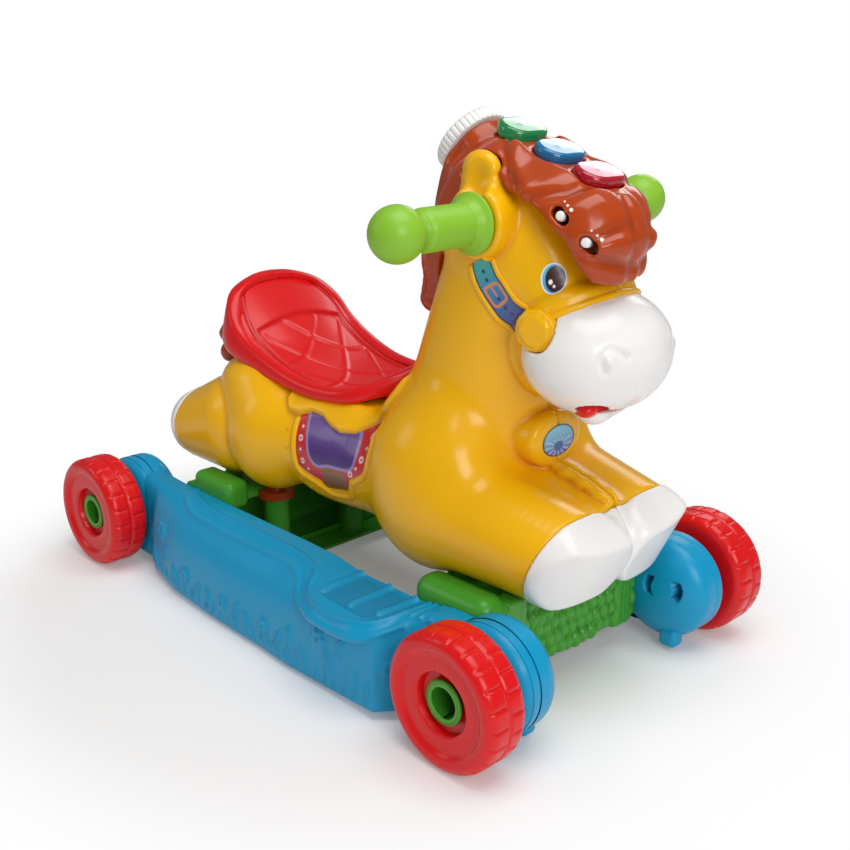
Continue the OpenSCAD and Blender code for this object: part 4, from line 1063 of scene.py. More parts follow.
# locks: furrows that run from the crown to the edge on both sides, and rounded swells between them
furrows = [[(150, -8, 452), (138, -28, 440), (124, -44, 418), (112, -48, 390), (100, -40, 352),
            (96, -34, 310)],
           [(126, -30, 440), (108, -42, 405), (92, -36, 360), (80, -30, 318)],
           [(170, -22, 449), (176, -32, 446), (187, -44, 435), (196, -50, 425), (206, -54, 417)],
           [(250, -26, 421), (245, -39, 417), (238, -45, 416), (229, -53, 414), (221, -56, 410)],
           [(286, -14, 394), (278, -28, 390), (268, -40, 384), (260, -47, 378)],
           [(285, -4, 362), (284, -20, 366), (277, -37, 370), (266, -48, 373)],
           [(256, 8, 421), (270, 10, 412), (278, 12, 402), (282, 12, 385), (280, 8, 352)]]
swells = [[(180, -26, 446), (194, -44, 432), (212, -54, 416)],
          [(262, -30, 408), (254, -44, 402), (244, -52, 394)],
          [(286, -18, 380), (276, -34, 380), (268, -44, 378)],
          [(140, -44, 420), (124, -46, 400), (112, -42, 362)],
          [(114, -40, 428), (98, -40, 390), (88, -32, 340)]]
mane_points, mane_faces = clay.skin()
mane_skin = surface_of(mane_points, mane_faces)
for lines, height, wide in ((swells, -3.2, 10.0), (furrows, 3.6, 4.8)):
    for side in (1, -1):
        for line in lines:
            spots = spline(line, 14) * (1, side, 1)
            laid = [tuple(mane_skin.find_nearest(Vector(spot))[0]) for spot in spots]
            low = np.min(laid, 0) - 3 * wide
            high = np.max(laid, 0) + 3 * wide
            spans, x, y, z = clay.window(low, high)
            clay.field[spans] += height * ridge(near_line(x, y, z, laid), wide)

# openings: the dial's seat, the room for the ears, the buttons' seats and the two switch slots
button_pitch = 41
button_half = 6
deck = Matrix.Translation(at_head(39, 0, 59)) @ Matrix.Rotation(math.radians(20.6), 4, "Y")
switch_turn = Matrix.Rotation(math.radians(11.5), 4, "Z") @ Matrix.Rotation(math.radians(39), 4, "Y")
switch_turn = switch_turn @ Matrix.Rotation(math.radians(76), 4, "X")
switch_seat = Matrix.Translation(at_head(91, -46, 6)) @ switch_turn


def slot_form(u, v, start, end, radius):
    """How far each place lies outside a slot with round ends."""
    return np.hypot(u - np.clip(u, start, end), v) - radius


spans, x, y, z = clay.window((60, -60, 380), (170, 60, 480))
u, v, w = local(dial_seat, x, y, z)
clay.cut(spans, np.maximum(np.hypot(u, v) - 36, -0.3 - w), 2)
spans, x, y, z = clay.window((120, -70, 390), (205, -20, 460))
clay.cut(spans, limb_form(x, y, z, ((169, -48, 416), (15, 12, 14)), ear_forms[1]) - 1.5, 1)
spans, x, y, z = clay.window((110, -44, 370), (290, 44, 480))
u, v, w = local(deck, x, y, z)
clay.cut(spans, np.maximum(slot_form(u, v, -44, 44, 24), -6.5 - w), 6)
for i in (-1, 0, 1):
    button_seat = slot_form(v, u - button_pitch * i, -button_half, button_half, 16.7)
    clay.cut(spans, np.maximum(button_seat, -17 - w), 1.2)
spans, x, y, z = clay.window((226, -66, 350), (292, -20, 420))
u, v, w = local(switch_seat, x, y, z)
for start, end in ((-17.5, -9.5), (13.5, 19.5)):
    clay.cut(spans, np.maximum(slot_form(u, v, start, end, 4.5), -9 - w), 1.6)
mane_points, mane_faces = clay.skin()
mane_points = eased(mane_points, mane_faces, 3)
mane_skin = surface_of(mane_points, mane_faces)
# painted shade: the brown turns almost black in the mane's furrows and creases
brown = plastic("brown_gloss", "#b0400f", "#5c1806", polish=0.18, bump=0.02, coat=0.25, shade_layer="hollow")
piece("mane_cap", mane_points, mane_faces, brown, stands_for=["mane"], slot="brown",
      extra=shaded_creases(mane_points, mane_faces, 14, 1.6))

# switch marks: small white pips printed beside the slots, growing along each slot
pip_round = 12
pip_faces = [tuple(range(pip_round))]
for j in range(pip_round):
    k = (j + 1) % pip_round
    pip_faces.append((j, j + pip_round, k + pip_round, k))


def no_creases(points):
    return {"hollow": np.zeros(len(points))}


pips = []
for start in (-19, 11):
    for i in range(3):
        centre = switch_seat @ Vector((start + 4.5 * i, 9.0, 0))
        spot, normal = settle(mane_skin, centre, -(switch_turn @ Vector((0, 0, 1))), 0.1)
        radius = 0.8 + 0.35 * i
        ahead = np.array(switch_turn @ Vector((1, 0, 0)))
        across = np.cross(normal, ahead)
        rim = [spot + radius * (ahead * math.cos(a) + across * math.sin(a)) + 0.25 * normal
               for a in np.linspace(0, 2 * math.pi, pip_round + 1)[:-1]]
        foot = [p - 0.6 * normal for p in rim]
        pips.append((np.array(rim + foot), pip_faces))
points, faces = stack(*pips)
piece("switch_pips", points, faces, white, slot="print", smooth=False, extra=no_creases(points))


# Switch knobs: two short white moulded pegs with round ends. Each is pushed on a switch inside the head
# and slides in its slot in the mane.
def lathe(profile, count, place, wave=None):
    """A turned form: a profile of radius and height swept round, with a wave added to its radius."""
    points = []
    for step in range(count):
        a = 2 * math.pi * step / count
        for k, (radius, height) in enumerate(profile):
            grown = radius + (wave(k, a) if wave else 0)
            points.append(place @ Vector((grown * math.cos(a), grown * math.sin(a), height)))
    size = len(profile)
    faces = []
    for step in range(count):
        nxt = (step + 1) % count
        for k in range(size - 1):
            faces.append((step * size + k, nxt * size + k, nxt * size + k + 1, step * size + k + 1))
    return np.array(points), faces


def arc(centre_r, centre_h, radius, first, last, count):
    """A round stretch of a profile, between two angles in degrees."""
    return [(centre_r + radius * math.cos(math.radians(a)), centre_h + radius * math.sin(math.radians(a)))
            for a in np.linspace(first, last, count)]


knob_profile = [(0.01, -12), (1.6, -12), (1.6, -6), (3.8, -6), (3.8, 2.6)]
knob_profile += arc(1.4, 2.6, 2.4, 0, 88, 8) + [(0.01, 5)]
for name, along in (("volume_knob", -13.5), ("mode_knob", 13.5)):
    points, faces = lathe(knob_profile, 32, switch_seat @ Matrix.Translation((along, 0, 0)))
    piece(name + "_peg", points, faces, white, body=name, stands_for=[name], slot="white",
          extra=no_creases(points))


# Tail: a short brown moulding of knotted locks, glossy like the mane and fixed to the rump under the
# back of the saddle.
clay = Clay((-268, -30, 166), (-150, 30, 248), fine_step)
clay.limb(((-176, 0, 220), (20, 14, 14)), ((-204, 0, 230), (17, 15, 16)), 4)
clay.limb(((-204, 0, 230), (17, 15, 16)), ((-230, 0, 212), (14, 16, 18)), 6)
knot = (11, 8.8, 11)
for centre in ((-220, -9, 238), (-240, -8, 222), (-237, -9, 201), (-222, 8, 238), (-241, 8, 218),
               (-237, 8, 199)):
    clay.ball(centre, knot, 3)
spans, x, y, z = clay.whole()
for aside in (-14, 0, 14):
    furrow = [(-196, aside, 236), (-222, aside * 1.1, 242), (-252, aside, 226), (-262, aside * 0.8, 200),
              (-252, aside * 0.7, 176)]
    clay.field[spans] += 3.0 * ridge(near_line(x, y, z, furrow), 4.0)
points, faces = cast(clay)
# painted shade: the brown turns darker in the tail's creases
piece("tail_locks", points, faces, brown, stands_for=["tail"], slot="brown",
      extra=shaded_creases(points, faces, 14, 1.6))


# Saddle: one red moulding with a raised round back, a rolled rim and a quilted panel in its back and
# seat, pressed down over the pony's back.
saddle_mid = [(-171, 293), (-157, 284), (-122, 257), (-92, 234), (-52, 217), (-12, 212), (18, 216),
              (38, 227), (50, 238)]
saddle_rim = [(-170, 25, 292), (-162, 51, 283), (-147, 64, 268), (-128, 67, 248), (-100, 66, 233),
              (-60, 64, 220), (-20, 62, 216), (18, 54, 220), (44, 26, 233)]
rows = 190
cols = 105
mid_line = spline([(-174, 0, 294.5)] + [(a, 0, b) for a, b in saddle_mid] + [(53, 0, 241)], rows)
rim_line = spline([(-174, 4, 294)] + saddle_rim + [(53, 4, 240.5)], rows)
across = np.linspace(-1, 1, cols)
seat_points = np.zeros((rows, cols, 3))
for k, v in enumerate(across):
    part = v * v
    seat_points[:, k, 0] = mid_line[:, 0] * (1 - part) + rim_line[:, 0] * part
    seat_points[:, k, 1] = rim_line[:, 1] * v
    seat_points[:, k, 2] = mid_line[:, 2] * (1 - part) + rim_line[:, 2] * part
ahead = np.gradient(seat_points, axis=0)
aside = np.gradient(seat_points, axis=1)
up = np.cross(ahead, aside)
up /= np.maximum(np.linalg.norm(up, axis=2), 1e-9)[:, :, None]
up[up[:, :, 2] < 0] *= -1
runs = np.concatenate([[0], np.cumsum(np.linalg.norm(np.diff(mid_line, axis=0), axis=1))])
from_back = np.repeat(runs[:, None], cols, 1)
sideways = seat_points[:, :, 1]
side_gap = np.abs(rim_line[:, 1])[:, None] - np.abs(sideways)
edge_gap = np.minimum(side_gap, np.minimum(from_back, runs[-1] - from_back))

# the sunk panel with its quilt of raised welts, and a seam inside the rim
panel_in = np.minimum(edge_gap - 15, from_back - 58 - 22 * (sideways / 46) ** 2)
sunk = step_up(panel_in, -2.5, 2.5)
quilt_u = (from_back + 1.15 * sideways) / 58 + 0.5
quilt_v = (from_back - 1.15 * sideways) / 58 + 0.5
quilt_gap = np.minimum(np.abs(quilt_u - np.round(quilt_u)), np.abs(quilt_v - np.round(quilt_v))) * 38
welt = 1.5 * ridge(quilt_gap, 1.7)
seam = -1.2 * ridge(edge_gap - 10, 1.6)
height = sunk * (welt * step_up(panel_in, 1, 6) - 2.2) + seam
seat_points = seat_points + up * height[:, :, None]
top = seat_points.reshape(-1, 3)
top_faces = grid_faces(rows, cols)
# painted shade: the red turns darker in the seam inside the rim and along the sunk panel's edge
saddle_seam_shade = np.clip(0.5 * ridge(edge_gap - 10, 1.8) + 0.35 * ridge(panel_in, 2.0), 0, 1).ravel()

# rolled rim: a rounded lip right round the edge that turns down into a skirt
loop = np.concatenate([rim_line, (rim_line * (1, -1, 1))[::-1]])
loop = spline(loop[::4], 240, closed=True)
lip_section = [(-8.5, 0.2), (-6.0, 2.0), (-2.5, 3.2), (1.5, 3.2), (4.2, 1.8), (5.6, -0.8), (6.2, -4),
               (6.6, -8), (6.0, -12), (4.0, -13.5), (0.5, -13), (-3.0, -6), (-7.5, -2)]
seat_middle = np.array((-52, 0, 0))
skirt_low = np.interp(loop[:, 0], [-172, -154, -129, -93, -52, -21, 18, 54],
                      [240, 235, 224, 214, 208, 206, 209, 222])
lip_points = []
for i in range(len(loop)):
    way = loop[(i + 1) % len(loop)] - loop[i - 1]
    out = np.array((way[1], -way[0], 0.0))
    out /= max(np.linalg.norm(out), 1e-9)
    if out @ (loop[i] - seat_middle) < 0:
        out = -out
    for far, high in lip_section:
        fall = max(-high - 1, 0) / 12.5
        flare = 0.24 * fall * max(loop[i, 2] - skirt_low[i] - 13, 0)
        drop = high if high > -1 else -1 - fall * (loop[i, 2] - skirt_low[i] - 1)
        lip_points.append(loop[i] + out * (far + flare) + np.array((0, 0, drop)))
size = len(lip_section)
lip_faces = []
for i in range(len(loop)):
    here = i * size
    after = (i + 1) % len(loop) * size
    for j in range(size):
        k = (j + 1) % size
        lip_faces.append((here + j, here + k, after + k, after + j))
saddle_points, saddle_faces = stack((top, top_faces), (np.array(lip_points), lip_faces))
piece("saddle_seat", saddle_points, saddle_faces, red, stands_for=["saddle"], slot="red",
      extra={"hollow": np.concatenate([saddle_seam_shade, np.zeros(len(lip_points))])})


# Rails: two blue mouldings that run from axle to axle. Each has a rounded back half and a flat footrest
# in front with ribs, a double bead round it and grass, leaves and daisies in low relief on the outside.
axle_x = 256
axle_z = 56
rail_wall = 110
rail_end = 236
rail_plan = np.array([(-236, 29, 93, 0.6), (-200, 29, 92, 0.6), (-186, 40, 91, 0.8), (-130, 52, 90, 0.9),
                      (-60, 56, 90, 0.9), (20, 58, 90, 0.88), (60, 61, 89, 0.8), (80, 66, 86, 0.55),
                      (100, 71, 84, 0.4), (150, 72, 84, 0.36), (168, 66, 84, 0.42), (182, 50, 86, 0.6),
                      (192, 38, 89, 0.65), (200, 30, 91, 0.6), (236, 29, 92, 0.6)])
long_count = 330
round_count = 62
rail_x = np.linspace(-rail_end, rail_end, long_count)


def along_rail(column):
    """One column of the plan along the rail, with its corners rounded off."""
    values = np.interp(rail_x, rail_plan[:, 0], rail_plan[:, column])
    return np.convolve(np.pad(values, 4, "edge"), np.ones(9) / 9, "valid")


wide = along_rail(1)
tall = along_rail(2)
square = along_rail(3)
foot = 5 + 8 * (rail_x / axle_x) ** 2
rail_grid = np.zeros((long_count, round_count + 10, 3))
turns = np.linspace(0, math.pi / 2, round_count)
for i in range(long_count):
    flat = min(10, wide[i] / 2)
    outs = flat + (wide[i] - flat) * np.sin(turns) ** square[i]
    ups = foot[i] + 8 + (tall[i] - foot[i] - 8) * np.cos(turns) ** square[i]
    outs = np.concatenate([[0, flat / 3, flat / 1.5], outs, [wide[i]] * 4, [wide[i] * 0.6, wide[i] * 0.3, 0]])
    ups = np.concatenate([[tall[i]] * 3, ups, foot[i] + np.array([6, 4, 2, 0]), [foot[i]] * 3])
    rail_grid[i, :, 0] = rail_x[i]
    rail_grid[i, :, 1] = -rail_wall - outs
    rail_grid[i, :, 2] = ups
ahead = np.gradient(rail_grid, axis=0)
round_way = np.gradient(rail_grid, axis=1)
away = np.cross(round_way, ahead)
away /= np.maximum(np.linalg.norm(away, axis=2), 1e-9)[:, :, None]
gx, gy, gz = np.moveaxis(rail_grid, 2, 0)

# the double bead, the ribs across the footrest and the wall set back under the footrest's lip
outer_bead = [(-149, -130, 89), (-127, -139, 84), (-91, -142, 82), (-50, -143, 82), (-9, -143, 83),
              (24, -143, 83), (43, -146, 83), (58, -153, 77), (70, -164, 70), (93, -174, 69),
              (126, -178, 68), (159, -175, 71), (174, -159, 76), (181, -148, 80)]
inner_bead = [(-158, -110, 90), (-150, -118, 90), (-129, -125, 90), (-90, -130, 89), (-47, -130, 89),
              (-2, -129, 89), (32, -131, 89), (52, -135, 88), (66, -140, 86), (79, -158, 80),
              (102, -169, 78), (132, -172, 78), (158, -165, 80), (169, -151, 83), (174, -125, 85),
              (176, -110, 85)]
inner_gap = near_line(gx, gy, gz, spline(inner_bead, 60))
rise = 2.4 * ridge(near_line(gx, gy, gz, spline(outer_bead, 60)), 2.6)
rise += 2.2 * ridge(inner_gap, 2.4)
for rib in (((93, -110, 84), (91, -154, 83)), ((128, -110, 84), (127, -154, 83)),
            ((159, -110, 84), (155, -148, 84))):
    rise += 2.2 * step_up(4.4 - near_line(gx, gy, gz, rib), 0, 2)
for i in range(4):
    rib = ((183 + 9 * i, -110, 87), (180 + 9 * i, -136, 86))
    rise += 1.8 * step_up(2.6 - near_line(gx, gy, gz, rib), 0, 1.6)
lip_z = np.interp(gx, [60, 74, 97, 135, 162, 176, 190], [72, 67, 64, 64, 67, 70, 74])
under_lip = np.clip(wide - 61, 0, None)[:, None] * step_up(lip_z - gz, -1.5, 5) * step_up(-gy, 146, 158)
sunk_floor = step_up(gz, 82, 83) * step_up(-gy, 112, 114) * (1 - step_up(-gy, 165, 171))
sunk_floor = sunk_floor * step_up(gx, 84, 92) * (1 - step_up(gx, 164, 172))
rise -= 2.2 * sunk_floor * step_up(inner_gap, 2, 6)


def leaf(px, pz, long, broad, lean):
    """The height of a pointed leaf with a vein along its middle."""
    lean = math.radians(lean)
    u = (gx - px) * math.cos(lean) + (gz - pz) * math.sin(lean)
    v = -(gx - px) * math.sin(lean) + (gz - pz) * math.cos(lean)
    inside = 1 - (u / long) ** 2 - np.abs(v) / broad
    return step_up(inside, 0, 0.35) - 0.55 * ridge(v, 0.9) * (inside > 0.05)


def daisy(px, pz, radius):
    """The height of a round flower with six petals and a dent in its middle."""
    reach = np.hypot(gx - px, gz - pz)
    petals = radius * (0.66 + 0.34 * np.abs(np.cos(3 * np.arctan2(gz - pz, gx - px))))
    return step_up(petals - reach, 0, 1.6) - 0.9 * step_up(radius * 0.3 - reach, 0, 1.4)


low_side = (gy < -120) & (gz < 70)
plants = np.zeros_like(gx)
for px, pz, long, broad, lean in ((-196, 40, 12, 5, 62), (-178, 26, 13, 5, 118), (-150, 38, 11, 5, 70),
                                  (-128, 24, 12, 5, 125), (-86, 24, 12, 5, 55), (-66, 22, 13, 5, 112),
                                  (-20, 27, 13, 5, 66), (-2, 22, 13, 5, 120), (46, 26, 13, 5, 60),
                                  (64, 32, 14, 5, 100), (82, 24, 12, 5, 128), (132, 50, 12, 5, 75),
                                  (118, 32, 14, 5, 118), (164, 28, 11, 4, 64)):
    plants = np.maximum(plants, leaf(px, pz, long, broad, lean))
for px, pz, radius in ((-164, 56, 10), (-108, 30, 9), (-42, 26, 9), (24, 28, 9), (104, 48, 10),
                       (148, 30, 10), (182, 46, 9)):
    plants = np.maximum(plants, daisy(px, pz, radius))
for px in range(-214, 200, 13):
    lean = 90 + 24 * math.sin(px)
    plants = np.maximum(plants, 0.7 * leaf(px, 14 + 8 * (px / axle_x) ** 2, 8, 2.6, lean))
rise += 2.0 * plants * low_side

# the ends follow the round drums
rail_points = rail_grid + away * rise[:, :, None]
rail_points[:, :, 1] += under_lip
drum_radius = 46.9
drum_gap = axle_x - np.sqrt(np.clip(drum_radius ** 2 - (gz - axle_z) ** 2, 0, None))
limit = np.minimum(drum_gap, rail_end)
rail_points[:, :, 0] = np.clip(rail_points[:, :, 0], -limit, limit)
tuck_back = rail_points[:1].copy()
tuck_front = rail_points[-1:].copy()
for tuck in (tuck_back, tuck_front):
    tuck[:, :, 1] = np.maximum(tuck[:, :, 1], -126)
rail_points = np.concatenate([tuck_back, rail_points, tuck_front])
rows, cols = rail_points.shape[:2]
rail_faces = grid_faces(rows, cols, flip=True)
flat_points = rail_points.reshape(-1, 3)
blue = plastic("blue_satin", "#0899c9", "#05699b", polish=0.32, bump=0.03, coat=0.06, shade_layer="hollow")
# painted shade: the blue turns darker on the footrest's sunk floor
rail_hollow = np.concatenate([np.zeros((1, cols)), np.clip(-rise / 6, 0, 1), np.zeros((1, cols))])
piece("rail_right", flat_points, rail_faces, blue, stands_for=["right_rail"], slot="blue",
      extra={"hollow": rail_hollow.ravel()})
piece("rail_left", *mirrored(flat_points, rail_faces), blue, stands_for=["left_rail"], slot="blue",
      extra={"hollow": rail_hollow.ravel()})


# Drum caps: a rounded blue cap on the inside of each rail end, with two curved slots moulded in and a
# small foot under it. It is clipped into the rail cover round the axle.
cap_round = 144
cap_rings = 64
cap_turn, cap_share = np.meshgrid(np.linspace(0, 2 * math.pi, cap_round + 1)[:-1],
                                  np.append(np.linspace(0.001, 1, cap_rings - 1), 1.0), indexing="ij")
cap_reach = 46.4 * np.sin(cap_share * math.pi / 2)
cap_x = cap_reach * np.cos(cap_turn)
cap_z = cap_reach * np.sin(cap_turn)
cap_out = 24 * np.cos(cap_share * math.pi / 2) ** 0.86
slots = np.zeros_like(cap_x)
for slot_x, bend in ((-2, -1), (21, 1)):
    curve = slot_x + bend * 3.2 * (1 - ((cap_z - 7) / 9) ** 2)
    slot_ends = step_up(8.5 - np.abs(cap_z - 7), 0, 0.7)
    slots = np.maximum(slots, step_up(4.0 - np.abs(cap_x - curve), 0, 0.7) * slot_ends)
cap_out = cap_out - 13 * slots
cap_out[:, -1] = -8
cap_faces = [(i * cap_rings + j, i * cap_rings + j + 1, (i + 1) % cap_round * cap_rings + j + 1,
              (i + 1) % cap_round * cap_rings + j) for i in range(cap_round) for j in range(cap_rings - 1)]
for end, way in (("front", 1), ("rear", -1)):
    cap_points = np.stack([way * (axle_x + cap_x), -rail_wall + cap_out, axle_z + cap_z], -1).reshape(-1, 3)
    foot_x = way * (axle_x + 14)
    clay = Clay((foot_x - 14, -112, 3), (foot_x + 14, -88, 26), 1.6)
    spans, x, y, z = clay.whole()
    clay.join(spans, block_form(x, y, z, (foot_x, -101, 14), (8.5, 8, 9), 4))
    foot_points, foot_faces = clay.skin()
    points, faces = stack((cap_points, cap_faces), (eased(foot_points, foot_faces), foot_faces))
    # painted shade: the slots are coloured the darker blue
    cap_hollow = np.concatenate([slots.ravel(), np.zeros(len(foot_points))])
    piece(end + "_right_drum_cap", points, faces, blue, slot="blue", extra={"hollow": cap_hollow})
    piece(end + "_left_drum_cap", *mirrored(points, faces), blue, slot="blue", extra={"hollow": cap_hollow})


# Front cross beam: a green moulding between the rails, shaped like a hedge with leaves all over its
# middle, a ribbed post under each foreleg and a smooth rounded block at each end.
clay = Clay((146, -112, 12), (242, 112, 114), 1.4)
spans, x, y, z = clay.whole()
clay.join(spans, block_form(x, y, z, (193, 0, 57), (39, 108, 36), 10))
hedge = np.random.default_rng(5)
for row in range(5):
    for k in range(17):
        py = -86 + 10.6 * k + 5.3 * (row % 2) + hedge.uniform(-1.5, 1.5)
        if abs(py) > 90:
            continue
        pz = 32 + 13 * row + hedge.uniform(-2, 2)
        clay.ball((231, py, pz), (7, 6.4, 8.4), 1.2)
        clay.ball((156, py, pz), (6, 6.4, 8.4), 1.2)
for row in range(5):
    for k in range(16):
        py = -84 + 11 * k + 5 * (row % 2)
        if abs(py) < 68:
            clay.ball((164 + 14 * row, py, 91), (8.5, 6.6, 5.5), 1.2)
for side in (-1, 1):
    clay.join(spans, block_form(x, y, z, (193, side * 93, 61), (42, 16.5, 42), 14), 2)
    reach = np.hypot(x - 200, y - side * 50)
    ribs = 1.4 * np.cos(14 * np.arctan2(y - side * 50, x - 200))
    clay.join(spans, np.maximum(reach - 13 - ribs, np.abs(z - 98) - 14), 1.5)
    ribs = 1.1 * np.abs(np.cos(math.pi * (y - side * 72) / 5.5))
    clay.join(spans, block_form(x, y, z, (228, side * 72, 60), (9, 11, 37), 3) - ribs, 1)
clay.field[spans] = np.maximum(clay.field[spans], -block_form(x, y, z, (193, 0, 46), (36, 104, 40), 8))
points, faces = cast(clay)
# painted shade: the green turns darker in the creases between the hedge's leaves
leaf_green = plastic("leaf_green", "#459f2b", "#1d5f17", polish=0.28, bump=0.03, coat=0.15, shade_layer="hollow")
piece("front_beam_hedge", points, faces, leaf_green, stands_for=["front_cross_beam"], slot="leaf",
      extra=shaded_creases(points, faces, 10, 1.4))


# Rear beam ends: a smooth rounded green block on each end of the rear cross beam, moulded in one with
# it where it is screwed to the rail.
for side, hand in ((-1, "right"), (1, "left")):
    clay = Clay((-172, side * 96 - 16, 78), (-102, side * 96 + 16, 114), 1.4)
    spans, x, y, z = clay.whole()
    clay.join(spans, block_form(x, y, z, (-137, side * 96, 94), (31, 13.5, 15), 8))
    points, faces = cast(clay)
    piece("rear_beam_block_" + hand, points, faces, leaf_green, slot="leaf", extra=no_creases(points))


# Wheels: hollow red blow-moulded wheels with a dished face, a hub recess and tread grooves, each turning
# freely on a fixed green axle tube.
wheel_profile = [(15.7, 0), (44, 0)] + arc(47, 9, 9, -90, 0, 8)
wheel_profile += [(56, h) for h in np.linspace(9, 31, 23)[1:]]
wheel_profile += arc(47, 31, 9, 0, 82, 8)[1:]
wheel_profile += [(44.5, 39.6), (42, 38.6), (40.4, 36.6), (39, 35.9), (36, 36.2), (28, 36.2)]
wheel_profile += [(26, 35.8), (25.2, 34.6), (25.2, 28.4), (24.6, 27.8), (15.7, 27.8)]
tread_rows = {k: h for k, (r, h) in enumerate(wheel_profile) if r > 51.5 and 2.5 < h < 37.5}


def tread(k, angle):
    """How far the tread's grooves cut in at a point of the profile and a turn of the wheel."""
    if k not in tread_rows:
        return 0.0
    where = tread_rows[k]
    phase = (angle / (2 * math.pi) * 22 + (0.5 if where > 20 else 0)) % 1
    groove = math.exp(-((phase - 0.5) * 16) ** 2) * min(1.0, abs(where - 20) / 4)
    middle = math.exp(-((where - 20) / 1.6) ** 2)
    return -1.9 * max(groove, 0.8 * middle)


tread_turns = 264
wheel_back = 143
lay = {"right": Matrix.Rotation(math.radians(90), 4, "X"), "left": Matrix.Rotation(math.radians(-90), 4, "X")}
wheel_places = [(end + "_" + side, side, Matrix.Translation((px, py, axle_z)) @ lay[side])
                for end, px in (("front", axle_x), ("rear", -axle_x))
                for side, py in (("right", -wheel_back), ("left", wheel_back))]
for corner, _, place in wheel_places:
    name = corner + "_wheel"
    points, faces = lathe(wheel_profile, tread_turns, place, tread)
    piece(name + "_tyre", points, faces, red, body=name, stands_for=[name], slot="red",
          extra=no_creases(points))


# Axle hubs: four green moulded tubes, open in the middle and fixed in the rails' drums. A rounded flange
# at the end of each holds the wheel on.
hub_face = 32.4
hub_inner_y = 113
hub_profile = [(12.5, -67.4), (12.5, 0)] + arc(13.8, 0, 1.3, 180, 90, 5) + [(16.4, 1.3)]
hub_profile += arc(16.4, -0.4, 1.7, 90, 0, 5) + [(18.1, -1.6), (15.4, -1.8), (15.4, -67.4)]
for corner, side, place in wheel_places:
    points, faces = lathe(hub_profile, 64, place @ Matrix.Translation((0, 0, hub_face)))
    outer = 1 if side == "left" else -1
    points[points[:, 1] * outer < hub_inner_y, 1] = hub_inner_y * outer
    piece(corner + "_hub", points, faces, leaf_green, stands_for=[corner + "_axle"], slot="leaf",
          extra=no_creases(points))


# Grips: soft lime handles pushed over the ends of a steel tube, with a flared flange at the head, fine
# rings along the hand part and a round bulb at the end.
grip_profile = [(9.2, 0.3), (20, 0.3), (20, 8), (22.4, 8)] + arc(22.4, 9.7, 1.7, -90, 60, 6)
grip_profile += [(20.9, 12.4), (18.8, 15.4), (17.2, 19)]
for i in range(25):
    ring = 20.6 + 1.6 * i
    grip_profile += [(16.3, ring), (16.65, ring + 0.4), (16.65, ring + 0.9), (16.3, ring + 1.3)]
grip_profile += [(15.9, 61), (14.8, 62.6), (14.6, 64), (15.6, 66.2)]
grip_profile += arc(0, 85.2, 21.4, -62, 88, 24)
grip_profile += [(0.01, 106.6)]
lime = plastic("lime_satin", "#8bc234", "#5a921b", polish=0.32, bump=0.04, coat=0.06)
for side in ("right", "left"):
    place = Matrix.Translation((grip_x, -61 if side == "right" else 61, grip_z)) @ lay[side]
    points, faces = lathe(grip_profile, 72, place)
    piece(side + "_grip_handle", points, faces, lime, stands_for=[side + "_grip"], slot="lime")


# Push buttons: three clear coloured caps in a row over the crown, held from below by a guide. Each has a
# pale printed top inside a thin clear edge.
button_round = 56


def stadium_loop(radius, half):
    """A loop with two round ends and straight sides."""
    loop = []
    for i in range(button_round):
        a = 2 * math.pi * (i + 0.5) / button_round
        loop.append((radius * math.cos(a), radius * math.sin(a) + (half if math.sin(a) > 0 else -half)))
    return loop


def lid_faces(levels):
    """Faces between loops that lie over each other, closed by the last loop."""
    faces = []
    for level in range(levels - 1):
        here = level * button_round
        after = here + button_round
        for j in range(button_round):
            k = (j + 1) % button_round
            faces.append((here + j, here + k, after + k, after + j))
    faces.append(tuple(range((levels - 1) * button_round, levels * button_round)))
    return faces


button_rings = [(15.2, -9.8), (15.9, -8), (16, -6), (15.9, -3), (15.3, -1.2), (14.2, -0.3), (13.0, 0.0)]
print_rings = [(12.6, 0.12), (9, 0.7), (5, 1.1), (1, 1.2)]
for i, (name, tint, shade_colour, pale) in enumerate((("green_button", "#12964a", "#04552a", "#b4dfc3"),
                                              ("blue_button", "#1683c4", "#064a86", "#b9d9ee"),
                                              ("red_button", "#cf1230", "#7d0418", "#efbecb"))):
    seat = deck @ Matrix.Translation((button_pitch * (i - 1), 0, 0))
    points = []
    for radius, high in button_rings:
        points += [tuple(seat @ Vector((a, b, high))) for a, b in stadium_loop(radius, button_half)]
    clear = plastic(name + "_clear", tint, shade_colour, polish=0.08, bump=0.01, coat=0.6, clear=0.35)
    piece(name + "_cap", points, lid_faces(len(button_rings)), clear, body=name, stands_for=[name],
          slot="clear_" + name.removesuffix("_button"))
    points = []
    flat_spots = []
    for radius, high in print_rings:
        for a, b in stadium_loop(radius, button_half * min(1, radius / 12)):
            points.append(tuple(seat @ Vector((a, b, high))))
            flat_spots.append((a, b))
    u, v = np.transpose(flat_spots)
    reach = np.hypot(u, v)
    bloom = np.clip(1.4 * np.cos(5 * np.arctan2(v, u)), 0, 1) * (reach < 10) * 0.6
    top_ink = inked(pale, [(bloom, tint), (within(reach - 2.4, 0.8), "#ffffff")])
    piece(name + "_top", points, lid_faces(len(print_rings)), printed, body=name, slot="print",
          extra=ink_layers(top_ink))


# Dial: a white moulded drum with forty grooves round its edge. It turns on a headed pin that is pushed
# into its seat behind the crown.
def dial_grooves(k, angle):
    """How far the grooves cut in; only the points on the drum's edge have them."""
    return -1.3 * max(0.0, math.cos(40 * angle)) ** 3 if 2 < k < 9 else 0.0


dial_profile = [(6.2, 0.4), (30, 0.4), (31.2, 0.8), (31.9, 1.8), (32, 4), (32, 8), (31.8, 10.4),
                (31.0, 11.9), (29.6, 12.8), (28, 13), (26.5, 12.6), (25.6, 11.8), (10, 11.6), (9.7, 10),
                (6.2, 9.8)]
points, faces = lathe(dial_profile, 320, dial_seat, dial_grooves)
piece("dial_drum", points, faces, white, body="dial", stands_for=["dial"], slot="white",
      extra=no_creases(points))


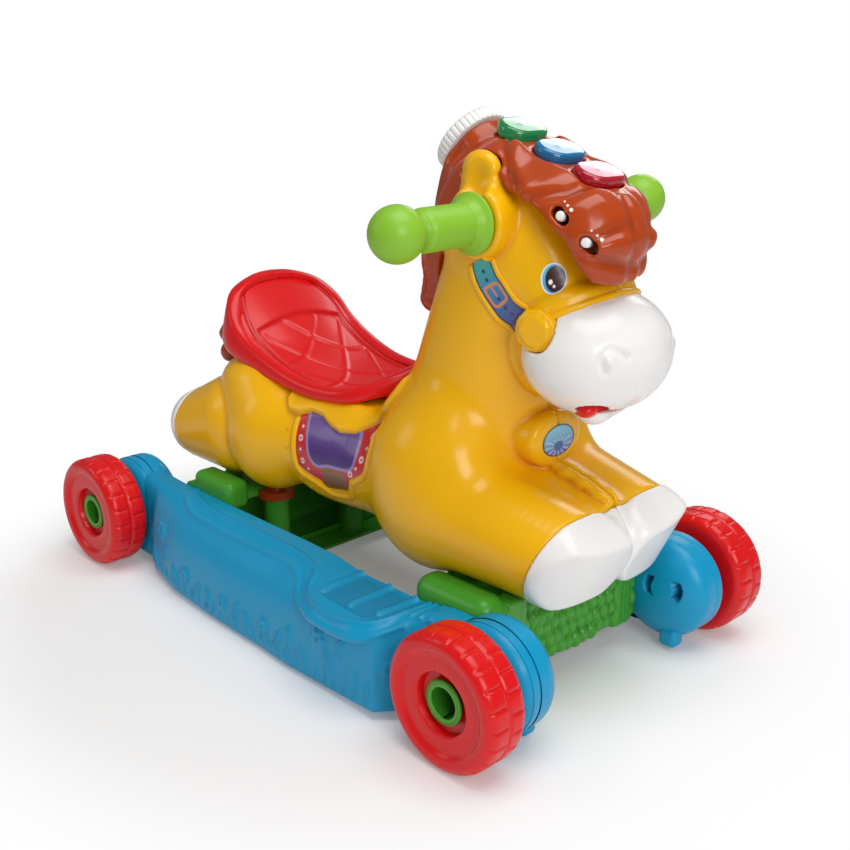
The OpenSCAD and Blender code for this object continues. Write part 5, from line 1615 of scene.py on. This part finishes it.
# Inner and hidden pieces: screws, tube, switches, board, battery and the walls that face inwards. They
# keep the shape of the part's own solids, each in the plain finish of what it is made of.
steel = plastic("drawn_steel", "#b9bcc0", "#8d9094", polish=0.32, bump=0.05, coat=0.0)
steel.node_tree.nodes["Principled BSDF"].inputs["Metallic"].default_value = 1.0
rubber = plastic("dome_rubber", "#d6d2c9", "#a29d92", polish=0.6, bump=0.08, coat=0.0)
lacquer = plastic("board_lacquer", "#1f6b3a", "#12462a", polish=0.35, bump=0.05, coat=0.2)
black = plastic("black_matte", "#2b2b2e", "#131315", polish=0.55, bump=0.08, coat=0.0)
wrap = plastic("cell_wrap", "#c98b2b", "#7a4f12", polish=0.3, bump=0.02, coat=0.2)
sleeve = plastic("wire_sleeve", "#222222", "#0e0e0e", polish=0.5, bump=0.05, coat=0.0)
plain_white = plastic("white_satin", "#f1efed", "#d9d4d2", polish=0.26, bump=0.015, coat=0.15)
plain_blue = plastic("blue_plain", "#0899c9", "#05699b", polish=0.32, bump=0.03, coat=0.06)
plain_leaf = plastic("leaf_plain", "#459f2b", "#1d5f17", polish=0.28, bump=0.03, coat=0.15)
plain_brown = plastic("brown_plain", "#b0400f", "#5c1806", polish=0.2, bump=0.02, coat=0.3)
plain_yellow = plastic("yellow_plain", "#f6b808", "#dd8503", polish=0.2, bump=0.015, coat=0.12)
for finish_used, slot_name, names in (
        (steel, "steel", ("beam_screws", "body_screws", "deck_screws", "handlebar_tube")),
        (rubber, "dome_rubber", ("button_domes",)), (lacquer, "board", ("circuit_board",)),
        (black, "black", ("switch_bodies", "battery_box", "speaker")), (wrap, "cell", ("battery_cells",)),
        (sleeve, "wire", ("wire_loom",)), (plain_white, "white", ("dial_pin", "button_guide")),
        (plain_blue, "blue", ("right_rail_cover", "left_rail_cover")),
        (plain_leaf, "leaf", ("rear_cross_beam",)),
        (plain_brown, "brown", ("post_collars",)), (plain_yellow, "yellow", ("battery_door",))):
    for name in names:
        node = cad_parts[name]
        node.data.materials.clear()
        node.data.materials.append(finish_used)
